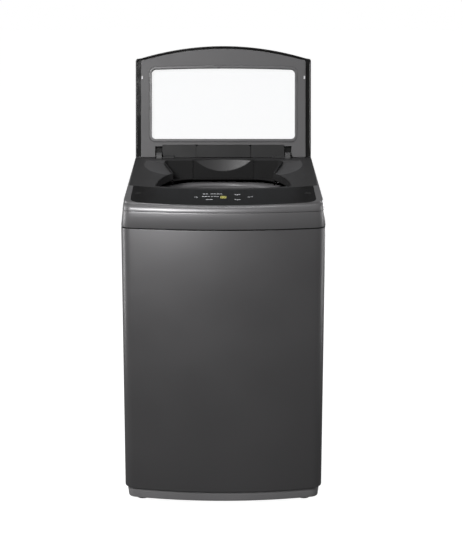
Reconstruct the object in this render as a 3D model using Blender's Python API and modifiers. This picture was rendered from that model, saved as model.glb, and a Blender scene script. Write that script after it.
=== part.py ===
"""Top load washing machine, lid standing open.

Metres, +Z up, origin at the centre of the footprint on the floor, front facing -Y.
Every sub-part is one closed solid; moving parts hang from an empty on their joint's axis.
"""
import math

import bmesh
import bpy
from mathutils import Matrix, Vector

for old in list(bpy.data.objects):
    bpy.data.objects.remove(old, do_unlink=True)

# ---------------------------------------------------------------- driving dimensions
GAP = 0.0003                      # clearance between touching pieces
HALF_WIDTH = 0.270
FRONT_Y = -0.2832
BACK_Y = 0.2832
BOW_DEPTH, BOW_AT = 0.0285, 0.235  # the front falls back this far at this half width
CORNER_RADIUS = 0.035
SHEET = 0.0008                    # cabinet and basket steel
BASE_BOTTOM, BASE_TOP = 0.012, 0.0415
CABINET_TOP = 0.7636
BAND_TOP = 0.8088
SHOULDER_RADIUS = 0.018
SIDE_DRAFT = 0.103                # top cover sides lean in by this slope
DECK_Z, DECK_SLOPE = 0.8643, 0.145  # deck plane: z = DECK_Z + DECK_SLOPE * y
DECK_ANGLE = math.atan(DECK_SLOPE)
DECK_THICKNESS = 0.0065
HINGE_Y = 0.1926
HOOD_FRONT = 0.2242               # front of the fixed hood behind the lid
HINGE_Z = DECK_Z + DECK_SLOPE * HINGE_Y
LID_LEAN = math.radians(12.05)    # lid leans back this far when open
LID_HALF, LID_CENTRE, LID_CORNER = 0.257, 0.3285, 0.2895
LID_TOP = 0.0225                  # lid thickness from its underside
WINDOW_HALF, WINDOW_LOW, WINDOW_HIGH = 0.2097, 0.0556, 0.2590
BEZEL = 0.0066
OPENING_RADIUS, OPENING_Y = 0.186, -0.083
OPENING_FRONT_Y = -0.114
POCKET_FRONT = (0.143, 0.036)
POCKET_BACK = (0.172, 0.165)
COLLAR_FLOOR = 0.8330
SIDE_WALL = 0.0193                # depth of the collar's side walls below the deck
DRAWER_HALF = 0.0882
TUB_RADIUS, TUB_FLOOR, TUB_TOP = 0.232, 0.240, 0.800
BASKET_RADIUS, BASKET_FLOOR = 0.2110, 0.2760
RING_INNER, RING_OUTER, RING_BOTTOM, RING_TOP = 0.155, 0.2050, 0.7760, 0.8220
ROD_X, ROD_Y = 0.215, 0.200
LUG_Z = 0.3000
FOOT_X, FOOT_Y = 0.222, 0.205
VALVE_X = {"cold": -0.125, "hot": -0.195}
VALVE_Z = 0.846
DRAIN_X, DRAIN_Z = 0.185, 0.165
SIDES = {"left": -1, "right": 1}
CORNERS = {"front_left": (-1, -1), "front_right": (1, -1), "rear_left": (-1, 1), "rear_right": (1, 1)}

PART = bpy.data.collections.new("top_load_washing_machine")
CUTTERS = bpy.data.collections.new("cutters")
for collection in (PART, CUTTERS):
    bpy.context.scene.collection.children.link(collection)


# ---------------------------------------------------------------- materials
def material(name, colour, roughness, metallic=0.0, alpha=1.0):
    made = bpy.data.materials.new(name)
    made.use_nodes = True
    shader = made.node_tree.nodes["Principled BSDF"]
    shader.inputs["Base Color"].default_value = (*colour, 1.0)
    shader.inputs["Roughness"].default_value = roughness
    shader.inputs["Metallic"].default_value = metallic
    shader.inputs["Alpha"].default_value = alpha
    return made


PAINTED_STEEL = material("painted_steel", (0.075, 0.073, 0.075), 0.42, 0.5)
COVER_PLASTIC = material("cover_plastic", (0.060, 0.059, 0.061), 0.38, 0.3)
BASE_PLASTIC = material("base_plastic", (0.100, 0.099, 0.102), 0.5)
DARK_PLASTIC = material("dark_plastic", (0.035, 0.034, 0.036), 0.45)
GLOSS_BLACK = material("gloss_black", (0.014, 0.013, 0.015), 0.08)
GLASS = material("lid_glass", (0.80, 0.84, 0.88), 0.03, 0.0, 0.25)
RUBBER = material("rubber", (0.010, 0.010, 0.010), 0.8)
WHITE_RUBBER = material("white_rubber", (0.8, 0.8, 0.8), 0.6)
STAINLESS = material("stainless_steel", (0.55, 0.55, 0.56), 0.25, 1.0)
ZINC_STEEL = material("zinc_steel", (0.45, 0.46, 0.48), 0.35, 1.0)
TUB_PLASTIC = material("tub_plastic", (0.55, 0.56, 0.57), 0.5)
RING_PLASTIC = material("ring_plastic", (0.22, 0.22, 0.23), 0.4)
COPPER = material("copper", (0.62, 0.27, 0.12), 0.35, 1.0)
BOARD_GREEN = material("board_green", (0.02, 0.14, 0.06), 0.5)
BLUE_PLASTIC = material("blue_plastic", (0.05, 0.16, 0.45), 0.45)
RED_PLASTIC = material("red_plastic", (0.45, 0.04, 0.03), 0.45)


# ---------------------------------------------------------------- modelling tools
def place(name, mesh, finish=None, parent=None):
    """Put a mesh in the part, or among the cutters when it has no finish."""
    made = bpy.data.objects.new(name, mesh)
    if finish is None:
        CUTTERS.objects.link(made)
        made.hide_render = True
        made.display_type = "WIRE"
    else:
        PART.objects.link(made)
        mesh.materials.append(finish)
    made.parent = parent
    return made


def axis_empty(name, location, tilt=0.0):
    made = bpy.data.objects.new(name, None)
    PART.objects.link(made)
    made.location = location
    made.rotation_euler = (tilt, 0.0, 0.0)
    return made


def mesh_from(name, build):
    mesh = bpy.data.meshes.new(name)
    shape = bmesh.new()
    build(shape)
    bmesh.ops.recalc_face_normals(shape, faces=shape.faces)
    shape.to_mesh(mesh)
    shape.free()
    return mesh


def box(name, low, high, finish=None, parent=None, rounding=0.0):
    low, high = Vector(low), Vector(high)
    size = Matrix.Diagonal((*(high - low), 1.0))
    spot = Matrix.Translation((low + high) / 2)
    mesh = mesh_from(name, lambda shape: bmesh.ops.create_cube(shape, size=1.0, matrix=spot @ size))
    made = place(name, mesh, finish, parent)
    if rounding:
        bevel(made, rounding)
    return made


def bevel(made, width, segments=2):
    rounded = made.modifiers.new("rounded_edges", "BEVEL")
    rounded.width = width
    rounded.segments = segments
    rounded.limit_method = "ANGLE"
    return made


def rod(name, start, end, radius, finish=None, parent=None, sides=18):
    start, end = Vector(start), Vector(end)
    turn = (end - start).to_track_quat("Z", "Y").to_matrix().to_4x4()
    spot = Matrix.Translation((start + end) / 2) @ turn

    def build(shape):
        bmesh.ops.create_cone(shape, cap_ends=True, segments=sides, radius1=radius, radius2=radius,
                              depth=(end - start).length, matrix=spot)
    made = place(name, mesh_from(name, build), finish, parent)
    made.data.set_sharp_from_angle(angle=math.radians(35))
    return made


def turned(name, profile, finish=None, parent=None, closed=True, steps=36, at=(0.0, 0.0, 0.0)):
    """A profile of (radius, z), down its outer side first, turned about Z."""
    points = [(r, 0.0, z) for r, z in profile]
    count = len(points)
    edges = [(i, i + 1) for i in range(count - 1)] + ([(count - 1, 0)] if closed else [])
    mesh = bpy.data.meshes.new(name)
    mesh.from_pydata(points, edges, [])
    made = place(name, mesh, finish, parent)
    made.location = at
    screw = made.modifiers.new("turned", "SCREW")
    screw.axis = "Z"
    screw.steps = screw.render_steps = steps
    screw.use_merge_vertices = True
    screw.merge_threshold = 0.00005
    screw.use_smooth_shade = False
    return made


def solid_curve(name, curve_maker, finish=None, parent=None):
    """Turn a curve object into a welded mesh, so that it takes Booleans."""
    data = bpy.data.curves.new(name, "CURVE")
    curve_maker(data)
    curve = bpy.data.objects.new(name + "_curve", data)
    bpy.context.scene.collection.objects.link(curve)
    evaluated = curve.evaluated_get(bpy.context.evaluated_depsgraph_get())
    mesh = bpy.data.meshes.new_from_object(evaluated)
    bpy.data.objects.remove(curve, do_unlink=True)
    shape = bmesh.new()
    shape.from_mesh(mesh)
    bmesh.ops.remove_doubles(shape, verts=shape.verts, dist=0.000005)
    bmesh.ops.recalc_face_normals(shape, faces=shape.faces)
    shape.to_mesh(mesh)
    shape.free()
    return place(name, mesh, finish, parent)


def prism(name, outline, low, high, finish=None, parent=None, upright=False):
    """A flat outline with thickness: in XY between two heights, or upright in XZ between two depths."""
    def draw(data):
        data.dimensions = "2D"
        data.fill_mode = "BOTH"
        data.extrude = (high - low) / 2
        spline = data.splines.new("POLY")
        spline.points.add(len(outline) - 1)
        for point, (u, v) in zip(spline.points, outline):
            point.co = (u, v, 0.0, 1.0)
        spline.use_cyclic_u = True
    made = solid_curve(name, draw, finish, parent)
    middle = (high + low) / 2
    if upright:
        made.data.transform(Matrix.Translation((0, middle, 0)) @ Matrix.Rotation(math.pi / 2, 4, "X"))
    else:
        made.data.transform(Matrix.Translation((0, 0, middle)))
    return made


def wire(name, points, radius, finish, parent=None, resolution=2):
    def draw(data):
        data.dimensions = "3D"
        data.bevel_depth = radius
        data.bevel_resolution = resolution
        data.use_fill_caps = True
        spline = data.splines.new("POLY")
        spline.points.add(len(points) - 1)
        for point, spot in zip(spline.points, points):
            point.co = (*spot, 1.0)
    return solid_curve(name, draw, finish, parent)


def loft(name, rings, finish=None, parent=None):
    """Close a stack of outlines of the same number of points into one solid."""
    def build(shape):
        rows = [[shape.verts.new(point) for point in ring] for ring in rings]
        for lower, upper in zip(rows, rows[1:]):
            for i in range(len(lower)):
                j = (i + 1) % len(lower)
                shape.faces.new((lower[i], lower[j], upper[j], upper[i]))
        shape.faces.new(list(reversed(rows[0])))
        shape.faces.new(rows[-1])
    return place(name, mesh_from(name, build), finish, parent)


def combine(made, tools, operation="DIFFERENCE"):
    for tool in tools if isinstance(tools, (list, tuple)) else [tools]:
        step = made.modifiers.new("with_" + tool.name, "BOOLEAN")
        step.operation = operation
        step.solver = "EXACT"
        step.object = tool
    return made


# ---------------------------------------------------------------- outlines
def arc(centre, radius, start, stop, count):
    """Points on an arc, angles in degrees."""
    turns = [math.radians(start + (stop - start) * i / count) for i in range(count + 1)]
    return [(centre[0] + radius * math.cos(t), centre[1] + radius * math.sin(t)) for t in turns]


def rounded_rectangle(x0, x1, y0, y1, radius, count=4):
    return (arc((x1 - radius, y0 + radius), radius, -90, 0, count)
            + arc((x1 - radius, y1 - radius), radius, 0, 90, count)
            + arc((x0 + radius, y1 - radius), radius, 90, 180, count)
            + arc((x0 + radius, y0 + radius), radius, 180, 270, count))


def bow(x, front=FRONT_Y):
    return front + BOW_DEPTH * (x / BOW_AT) ** 2


def plan_outline(side=0.0, front=0.0, back=0.0, front_steps=10, corner_steps=5):
    """The machine's plan seen from above, moved in from its sides, front and back."""
    half, face = HALF_WIDTH - side, FRONT_Y + front
    radius = max(CORNER_RADIUS - side, 0.012)
    turn = 0.0
    for _ in range(8):
        touch = half - radius + radius * math.sin(turn)
        turn = math.atan(2 * BOW_DEPTH * touch / BOW_AT ** 2)
    centre_y = bow(touch, face) + radius * math.cos(turn)
    front_run = [(touch * t, bow(touch * t, face)) for t in
                 [-1 + 2 * i / front_steps for i in range(front_steps + 1)]]
    right = arc((half - radius, centre_y), radius, -90 + math.degrees(turn), 0, corner_steps)
    left = [(-x, y) for x, y in reversed(right)]
    rear_radius = 0.012
    rear = arc((half - rear_radius, BACK_Y - back - rear_radius), rear_radius, 0, 90, 3)
    return front_run[:-1] + right + rear + [(-x, y) for x, y in reversed(rear)] + left[:-1]


def octagon(half_x, half_y, diagonal):
    """A rectangle with corners cut at 45 degrees at this distance from the centre."""
    reach = diagonal * math.sqrt(2)
    return [(reach - half_y, -half_y), (half_x, half_x - reach), (half_x, reach - half_x),
            (reach - half_y, half_y), (half_y - reach, half_y), (-half_x, reach - half_x),
            (-half_x, half_x - reach), (half_y - reach, -half_y)]


def opening_outline(inset=0.0):
    """Wash opening: a circle, cut by the control panel in front, with a drawer pocket behind."""
    radius = OPENING_RADIUS - inset
    front = OPENING_FRONT_Y + inset
    span = math.degrees(math.asin((front + 0.020 - OPENING_Y) / radius))
    pocket = math.degrees(math.atan2(POCKET_FRONT[1] - OPENING_Y, POCKET_FRONT[0]))
    right = arc((0, OPENING_Y), radius, span, pocket, 8)
    back_x, back_y = POCKET_BACK[0] - inset, POCKET_BACK[1] - inset
    right += arc((back_x - 0.012, back_y - 0.012), 0.012, 10, 90, 3)
    start_x = right[0][0]
    run = [i / 8 for i in range(-7, 8)]
    return ([(start_x * t, front + 0.020 * t * t) for t in run]
            + right + [(-x, y) for x, y in reversed(right)])


def at_height(outline, z):
    return [(x, y, z) for x, y in outline]


def deck_half_space(name, below=0.0, parent=None):
    """Everything above the deck plane, moved down by a distance."""
    made = box(name, (-0.4, -0.5, -below), (0.4, 0.5, 0.3), parent=parent)
    made.location = (0, 0, DECK_Z)
    made.rotation_euler = (DECK_ANGLE, 0, 0)
    return made


def on_deck(outline):
    """A plan outline stretched so that it keeps its place when laid on the sloping deck."""
    return [(x, y / math.cos(DECK_ANGLE)) for x, y in outline]


def lay_on_deck(made):
    made.location = (0, 0, DECK_Z)
    made.rotation_euler = (DECK_ANGLE, 0, 0)
    return made


# ---------------------------------------------------------------- base and cabinet
def make_base():
    """Moulded plinth: tapered skirt, open middle, solid corners that take the feet."""
    lower = plan_outline(0.0095, 0.0095, 0.0095)
    upper = plan_outline(0.0062, 0.0062, 0.0062)
    base = loft("base_frame", [at_height(lower, BASE_BOTTOM), at_height(upper, BASE_TOP)], BASE_PLASTIC)
    combine(base, prism("base_middle", octagon(0.240, 0.226, 0.262), 0.0, 0.06))
    for corner, (sx, sy) in CORNERS.items():
        spot = (sx * FOOT_X, sy * FOOT_Y)
        combine(base, rod("foot_bore_" + corner, (*spot, 0.0), (*spot, 0.06), 0.0052))
    return base


def make_feet():
    """Rubber-padded levelling feet on threaded stems, each sliding in its corner of the plinth."""
    for corner, (sx, sy) in CORNERS.items():
        profile = [(0.0, 0.0385), (0.0040, 0.0385), (0.0048, 0.0375), (0.0048, 0.0115), (0.0120, 0.0115),
                   (0.0175, 0.0095), (0.0190, 0.0030), (0.0175, 0.0), (0.0, 0.0)]
        turned("levelling_foot_" + corner, profile, RUBBER, closed=False, steps=16,
               at=(sx * FOOT_X, sy * FOOT_Y, 0.0))


def make_cabinet():
    """Wrap-around steel sheet: front and two sides in one bend, with return flanges behind."""
    outline = plan_outline()
    cut = next(i for i, point in enumerate(outline) if point[1] > BACK_Y - 0.02)
    corner = 3
    ahead = outline[:cut]
    behind = [point for point in outline[cut + 2 * (corner + 1):]]
    back = BACK_Y - 0.0016
    run = [(-HALF_WIDTH + 0.030, back), (-HALF_WIDTH, back)] + behind + ahead
    run += [(HALF_WIDTH, back), (HALF_WIDTH - 0.030, back)]
    mesh = bpy.data.meshes.new("cabinet_shell")
    shape = bmesh.new()
    low = [shape.verts.new((x, y, BASE_TOP + 0.0007)) for x, y in run]
    edges = [shape.edges.new(pair) for pair in zip(low, low[1:])]
    raised = bmesh.ops.extrude_edge_only(shape, edges=edges)["geom"]
    tops = [item for item in raised if isinstance(item, bmesh.types.BMVert)]
    bmesh.ops.translate(shape, verts=tops, vec=(0, 0, CABINET_TOP - BASE_TOP - 0.0007))
    bmesh.ops.recalc_face_normals(shape, faces=shape.faces)
    front_face = min(shape.faces, key=lambda face: face.calc_center_median().y)
    if front_face.normal.y > 0:
        bmesh.ops.reverse_faces(shape, faces=shape.faces)
    shape.to_mesh(mesh)
    shape.free()
    shell = place("cabinet_shell", mesh, PAINTED_STEEL)
    sheet = shell.modifiers.new("sheet", "SOLIDIFY")
    sheet.thickness = SHEET
    sheet.offset = -1.0
    sheet.use_even_offset = True
    return shell


def make_back_panel():
    """Flat rear sheet with holes for the drain, the inlet of the mains lead and cooling slots."""
    half = HALF_WIDTH - 0.0135
    panel = box("back_panel", (-half, BACK_Y - 0.0012, BASE_TOP + 0.0010),
                (half, BACK_Y, CABINET_TOP - 0.0003), PAINTED_STEEL)
    holes = [rod("drain_hole", (DRAIN_X, 0.2, DRAIN_Z), (DRAIN_X, 0.3, DRAIN_Z), 0.0200),
             rod("cord_hole", (-0.20, 0.2, 0.70), (-0.20, 0.3, 0.70), 0.0085)]
    return combine(panel, holes)


def make_top_band():
    """Moulded frame on the cabinet's rim; its corner gussets carry the suspension rods."""
    low, high = CABINET_TOP + 0.0007, BAND_TOP
    draft = SIDE_DRAFT * (high - low)
    outer = [at_height(plan_outline(), low), at_height(plan_outline(draft), high)]
    band = loft("top_band", outer, COVER_PLASTIC)
    inside = plan_outline(0.009, 0.006, 0.006)
    combine(band, [prism("band_upper_hollow", inside, low + 0.012, high + 0.01),
                   prism("band_middle", octagon(0.258, 0.2475, 0.264), low - 0.01, high + 0.01)])
    for corner, (sx, sy) in CORNERS.items():
        spot = (sx * ROD_X, sy * ROD_Y)
        combine(band, rod("rod_seat_" + corner, (*spot, low - 0.01), (*spot, low + 0.03), 0.0036))
    return band


# ---------------------------------------------------------------- top cover and what it carries
def cover_rings(side, front, back, low, shrink=0.0):
    """Outlines up the drafted sides and round the front shoulder."""
    rings = []
    for z, set_back in ([(low, 0.0)]
                        + [(BAND_TOP + SHOULDER_RADIUS * math.sin(math.radians(a)),
                            SHOULDER_RADIUS * (1 - math.cos(math.radians(a)))) for a in (15, 35, 55, 72, 90)]
                        + [(0.935, 0.030)]):
        lean = SIDE_DRAFT * (z - CABINET_TOP)
        rings.append(at_height(plan_outline(lean + side, set_back + front, back), z - shrink))
    return rings


def scoop(name, side, grow=0.0):
    """A shallow dish at one rear corner of the deck: part of a large ball, ending short of the hinge."""
    ball, rim = 0.70, 0.130
    floor = math.sqrt(ball ** 2 - rim ** 2)
    reach = rim + 0.012 + grow
    radii = [reach * (1 - i / 6) for i in range(7)]
    profile = [(0.0, 0.030), (reach, 0.030)]
    profile += [(r, floor - math.sqrt(ball ** 2 - r * r) - grow) for r in radii]
    made = turned(name, profile, closed=False, steps=36)
    made.location = (side * 0.10, 0.13, DECK_Z + DECK_SLOPE * 0.13)
    made.rotation_euler = (DECK_ANGLE, 0, 0)
    x0, x1 = sorted((side * (0.125 - grow), side * -0.3))
    return combine(made, [box(name + "_inner_limit", (x0, -0.1, 0.7), (x1, 0.4, 1.0)),
                          box(name + "_rear_limit", (-0.4, 0.1655 + grow, 0.7), (0.4, 0.4, 1.0))])


def panel_outline(grow=0.0):
    """Control panel: bowed front, rounded front corners, rear edge an arc that follows the lid."""
    half, radius = 0.245 + grow, 0.034
    face = -0.2625 - grow
    corner_y = bow(half - radius, face) + radius * 1.03
    front = [((half - radius) * t, bow((half - radius) * t, face)) for t in [i / 5 - 1 for i in range(11)]]
    right = arc((half - radius, corner_y), radius, -70, 0, 4)
    rear_y = -0.124 + grow
    rear = [(half * t, rear_y + 0.037 * t * t) for t in [1 - i / 8 for i in range(17)]]
    return front + right + rear + [(-x, y) for x, y in reversed(right)]


def make_top_cover():
    cover = loft("top_cover", cover_rings(0.0, 0.0, 0.0, BAND_TOP + 0.0006), COVER_PLASTIC)
    hollow = loft("cover_hollow", cover_rings(0.0035, 0.004, 0.0035, BAND_TOP - 0.01))
    combine(hollow, deck_half_space("hollow_top", DECK_THICKNESS))
    combine(hollow, [scoop("scoop_wall_" + side, sign, 0.004) for side, sign in SIDES.items()])
    combine(hollow, [box("trough_wall", (-0.28, HINGE_Y - 0.004, 0.8780), (0.28, 0.300, 0.96)),
                     box("rear_shelf_wall", (-0.28, HOOD_FRONT - 0.001, 0.8860), (0.28, 0.300, 0.96))])
    cuts = [deck_half_space("above_deck")]
    cuts += [scoop("scoop_" + side, sign) for side, sign in SIDES.items()]
    cuts += [hollow,
             prism("wash_opening", opening_outline(), 0.75, 1.0),
             lay_on_deck(prism("panel_seat", on_deck(panel_outline(GAP)), -0.0034, 0.05)),
             box("lid_trough", (-0.2585, HINGE_Y - 0.0005, 0.8840), (0.2585, HOOD_FRONT - 0.0006, 0.96)),
             box("rear_cover_seat", (-0.28, HOOD_FRONT - 0.001, 0.8925), (0.28, 0.300, 0.96)),
             box("drawer_notch", (-0.0888, 0.15, 0.85), (0.0888, 0.1808, 0.96))]
    for side, sign in SIDES.items():
        cuts += [box("arm_slot_" + side, (min(sign * 0.1785, sign * 0.1965), HINGE_Y - 0.0172, 0.83),
                     (max(sign * 0.1785, sign * 0.1965), HINGE_Y + 0.0200, 0.96)),
                 rod("lug_recess_" + side, (sign * 0.1425, HINGE_Y, HINGE_Z),
                     (sign * 0.1800, HINGE_Y, HINGE_Z), 0.0073)]
    cuts += [rod("inlet_hole_" + name, (x, 0.25, VALVE_Z), (x, 0.30, VALVE_Z), 0.0165)
             for name, x in VALVE_X.items()]
    return combine(cover, cuts)


def make_collar():
    """Splash collar: wall round the opening, shallow at the sides, with a floor flange round the throat."""
    collar = prism("tub_collar", opening_outline(GAP), COLLAR_FLOOR, 0.95, DARK_PLASTIC)
    combine(collar, deck_half_space("collar_top", 0.0002))
    throat = rod("collar_throat", (0, 0.010, 0.8), (0, 0.010, COLLAR_FLOOR + 0.003), 0.1800, sides=64)
    combine(throat, prism("throat_limit", opening_outline(0.0026), 0.7, 0.9), "INTERSECT")
    combine(collar, [prism("collar_inside", opening_outline(0.0025), COLLAR_FLOOR + 0.0025, 1.0),
                     throat,
                     box("drawer_window", (-0.0888, 0.15, COLLAR_FLOOR + 0.0025), (0.0888, 0.20, 0.96)),
                     lay_on_deck(box("below_side_wall", (-0.3, -0.2, -0.1), (0.3, 0.0345, -SIDE_WALL)))])
    return collar


def make_control_panel():
    """Gloss touch panel on its seat, the plugs over its screws, and the board beneath."""
    panel = lay_on_deck(prism("control_panel", on_deck(panel_outline()), -0.0030, 0.0, GLOSS_BLACK))
    for side, sign in SIDES.items():
        spot = (sign * 0.2265, -0.155 / math.cos(DECK_ANGLE))
        plug = rod("panel_screw_plug_" + side, (*spot, -0.0018), (*spot, 0.0008), 0.0092, RUBBER)
        seat = rod("plug_seat_" + side, (*spot, -0.0022), (*spot, 0.01), 0.0095)
        lay_on_deck(plug)
        lay_on_deck(seat)
        combine(panel, seat)
    board = box("control_board", (-0.150, -0.254, -0.0125), (0.150, -0.216, -0.0109), BOARD_GREEN)
    lay_on_deck(board)


def make_rear_cover():
    """Fixed hood behind the lid, over the water valves."""
    hood = box("rear_cover", (-0.2555, HOOD_FRONT, 0.8928), (0.2555, BACK_Y - 0.0008, 0.9160), COVER_PLASTIC,
               rounding=0.004)
    return combine(hood, box("hood_hollow", (-0.2520, HOOD_FRONT + 0.003, 0.88), (0.2520, BACK_Y - 0.0038, 0.9130)))


def make_drawer_parts():
    housing = box("drawer_housing", (-0.0888, 0.1815, 0.8330), (0.0888, 0.2660, 0.8755), DARK_PLASTIC)
    combine(housing, box("housing_inside", (-0.0868, 0.15, 0.8352), (0.0868, 0.2640, 0.8737)))
    axis = axis_empty("drawer_axis", (0, 0.1658, 0.8362))
    front = box("detergent_drawer", (-DRAWER_HALF, 0, 0), (DRAWER_HALF, 0.0142, 0.10), DARK_PLASTIC, axis)
    top = deck_half_space("drawer_top", 0.0006)
    dish = math.sqrt(0.35 ** 2 - 0.1222 ** 2)
    profile = [(0.0, 0.03)] + [(0.1222 + 0.02, 0.03)]
    profile += [(r, dish - math.sqrt(0.35 ** 2 - r * r)) for r in
                [(0.1222 + 0.02) * (1 - i / 9) for i in range(10)]]
    finger_scoop = turned("finger_scoop", profile, closed=False, steps=64)
    finger_scoop.location = (0, 0.1658, 0.9777)
    finger_scoop.rotation_euler = (math.pi / 2, 0, 0)
    tray = box("drawer_tray", (-0.0860, 0.1780, 0.8362), (0.0860, 0.2600, 0.8725))
    combine(tray, box("tray_inside", (-0.0840, 0.1840, 0.8384), (0.0840, 0.2580, 0.89)))
    combine(front, [top, finger_scoop])
    combine(front, tray, "UNION")
    cap = box("softener_cap", (0.0300, 0.1845, 0.8600), (0.0835, 0.2575, 0.8615), BLUE_PLASTIC)
    cap.data.transform(Matrix.Translation((0, -0.1658, -0.8362)))
    cap.parent = axis


def make_valves():
    """Two inlet valves behind the hood, their threaded spouts facing back."""
    for name, finish in (("cold", BLUE_PLASTIC), ("hot", RED_PLASTIC)):
        x, z = VALVE_X[name], VALVE_Z
        valve = box("inlet_valve_" + name, (x - 0.018, 0.2300, z - 0.018), (x + 0.018, 0.2600, z + 0.018),
                    finish, rounding=0.003)
        combine(valve, rod("spout_" + name, (x, 0.255, z), (x, BACK_Y - 0.0005, z), 0.0132), "UNION")
        combine(valve, rod("spout_bore_" + name, (x, 0.250, z), (x, 0.30, z), 0.0090))


def make_hinge_arms():
    for side, sign in SIDES.items():
        x0, x1 = sorted((sign * 0.180, sign * 0.195))
        arm = rod("hinge_arm_" + side, (x0, HINGE_Y, HINGE_Z), (x1, HINGE_Y, HINGE_Z), 0.0165, DARK_PLASTIC)
        foot = box("arm_foot_" + side, (x0, HINGE_Y - 0.010, 0.8500), (x1, HINGE_Y + 0.010, HINGE_Z))
        bore = rod("arm_bore_" + side, (x0 - 0.01, HINGE_Y, HINGE_Z), (x1 + 0.01, HINGE_Y, HINGE_Z), 0.0033)
        combine(arm, foot, "UNION")
        combine(arm, bore)


# ---------------------------------------------------------------- lid
def lid_outline(half, low, high_centre):
    """Lid outline in its own plane: straight sides and foot, arched front edge."""
    fall = (LID_CENTRE - LID_CORNER) * (half / LID_HALF) ** 2
    corner = 0.007
    right = arc((half - corner, high_centre - fall - corner + 0.002), corner, 0, 72, 3)
    tip = right[-1][0]
    top = [(tip * t, high_centre - fall * t * t) for t in [1 - i / 10 for i in range(1, 20)]]
    return ([(-half, low), (half, low)] + right + top + [(-x, y) for x, y in reversed(right)])


def lid_plate(name, outline, near, far, finish=None, parent=None):
    """Outline upright in the lid's own XZ plane; Y runs from its underside to its top."""
    return prism(name, outline, near, far, finish, parent, upright=True)


def window_outline(half, low, high, radius):
    """Rounded window whose upper edge is slightly arched."""
    outline = rounded_rectangle(-half, half, low, high, radius)
    arch = 0.004
    return [(x, y + (arch * (1 - (x / half) ** 2) if y > (low + high) / 2 else 0.0)) for x, y in outline]


def make_lid():
    axis = axis_empty("lid_hinge_axis", (0, HINGE_Y, HINGE_Z), -LID_LEAN)
    rim = lid_plate("lid_rim", lid_outline(LID_HALF, 0.001, LID_CENTRE), 0.0120, LID_TOP, DARK_PLASTIC, axis)
    inner = lid_plate("rim_inside", lid_outline(0.2536, 0.0046, LID_CENTRE - 0.0034), 0.0, 0.03, parent=axis)
    foot_relief = box("rim_foot_relief", (-0.2414, -0.01, -0.01), (0.2414, 0.0179, 0.0060), parent=axis)
    combine(rim, [inner, foot_relief])
    lid_plate("lid_glass", lid_outline(0.2533, 0.0049, LID_CENTRE - 0.0037), 0.0180, 0.0220, GLASS, axis)

    frame = lid_plate("lid_frame", lid_outline(0.2410, 0.001, 0.3195), 0.0035, 0.0177, COVER_PLASTIC, axis)
    seat = window_outline(WINDOW_HALF + BEZEL + GAP, WINDOW_LOW - 0.0092, WINDOW_HIGH + 0.0075, 0.018)
    cuts = [lid_plate("bezel_seat", seat, 0.0, 0.03, parent=axis),
            box("bar_seat", (-0.1783, -0.01, -0.01), (0.1783, 0.03, 0.0384), parent=axis)]
    for side, sign in SIDES.items():
        x0, x1 = sorted((sign * 0.170, sign * 0.1995))
        cuts.append(box("arm_gap_" + side, (x0, -0.01, -0.01), (x1, 0.03, 0.0340), parent=axis))
    combine(frame, cuts)

    outer = window_outline(WINDOW_HALF + BEZEL, WINDOW_LOW - 0.0089, WINDOW_HIGH + 0.0072, 0.018)
    inner = window_outline(WINDOW_HALF, WINDOW_LOW, WINDOW_HIGH, 0.012)
    bezel = lid_plate("lid_bezel", outer, 0.0015, 0.0177, COVER_PLASTIC, axis)
    combine(bezel, lid_plate("window_cut", inner, -0.01, 0.03, parent=axis))

    chamfer = [(-0.0800, 0.001), (0.0800, 0.001), (0.0800, 0.0340), (0.0740, 0.0380),
               (-0.0740, 0.0380), (-0.0800, 0.0340)]
    lid_plate("hinge_bar_centre", chamfer, 0.0008, 0.0177, DARK_PLASTIC, axis)
    for side, sign in SIDES.items():
        x0, x1 = sorted((sign * 0.0805, sign * 0.1778))
        bar = box("hinge_bar_" + side, (x0, 0.0008, 0.001), (x1, 0.0177, 0.0380), DARK_PLASTIC, axis)
        lug = rod("hinge_lug_" + side, (sign * 0.1435, 0, 0), (sign * 0.1716, 0, 0), 0.0065, parent=axis)
        combine(bar, lug, "UNION")
        combine(bar, rod("pin_bore_" + side, (sign * 0.1470, 0, 0), (sign * 0.190, 0, 0), 0.0033, parent=axis))
        rod("hinge_pin_" + side, (sign * 0.1475, 0, 0), (sign * 0.1957, 0, 0), 0.0030, ZINC_STEEL, axis)
        x0, x1 = sorted((sign * 0.2350, sign * 0.2390))
        box("lid_bumper_" + side, (x0, 0.0008, 0.2305), (x1, 0.0032, 0.2395), WHITE_RUBBER, axis,
            rounding=0.0008)


# ---------------------------------------------------------------- tub, basket and drive
def make_tub():
    """Outer tub with four lugs that sit on the suspension springs."""
    r, wall = TUB_RADIUS, 0.003
    profile = [(0.046, TUB_FLOOR + 0.005), (0.046, TUB_FLOOR), (r - 0.02, TUB_FLOOR), (r, TUB_FLOOR + 0.02),
               (r, TUB_TOP), (r - wall, TUB_TOP), (r - wall, TUB_FLOOR + 0.022), (r - 0.022, TUB_FLOOR + 0.005)]
    tub = turned("outer_tub", list(reversed(profile)), TUB_PLASTIC)
    for corner, (sx, sy) in CORNERS.items():
        angle = math.atan2(sy * ROD_Y, sx * ROD_X)
        reach = math.hypot(ROD_X, ROD_Y)
        lug = box("tub_lug_" + corner, (0.2305, -0.022, LUG_Z), (reach + 0.018, 0.022, LUG_Z + 0.008))
        lug.rotation_euler = (0, 0, angle)
        combine(tub, lug, "UNION")
        spot = (sx * ROD_X, sy * ROD_Y)
        combine(tub, rod("lug_bore_" + corner, (*spot, LUG_Z - 0.02), (*spot, LUG_Z + 0.03), 0.0045))
    turned("tub_cover", [(r, TUB_TOP + 0.0063), (r, TUB_TOP + GAP), (0.2100, TUB_TOP + GAP),
                         (0.2085, TUB_TOP + 0.0063)], TUB_PLASTIC)


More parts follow.
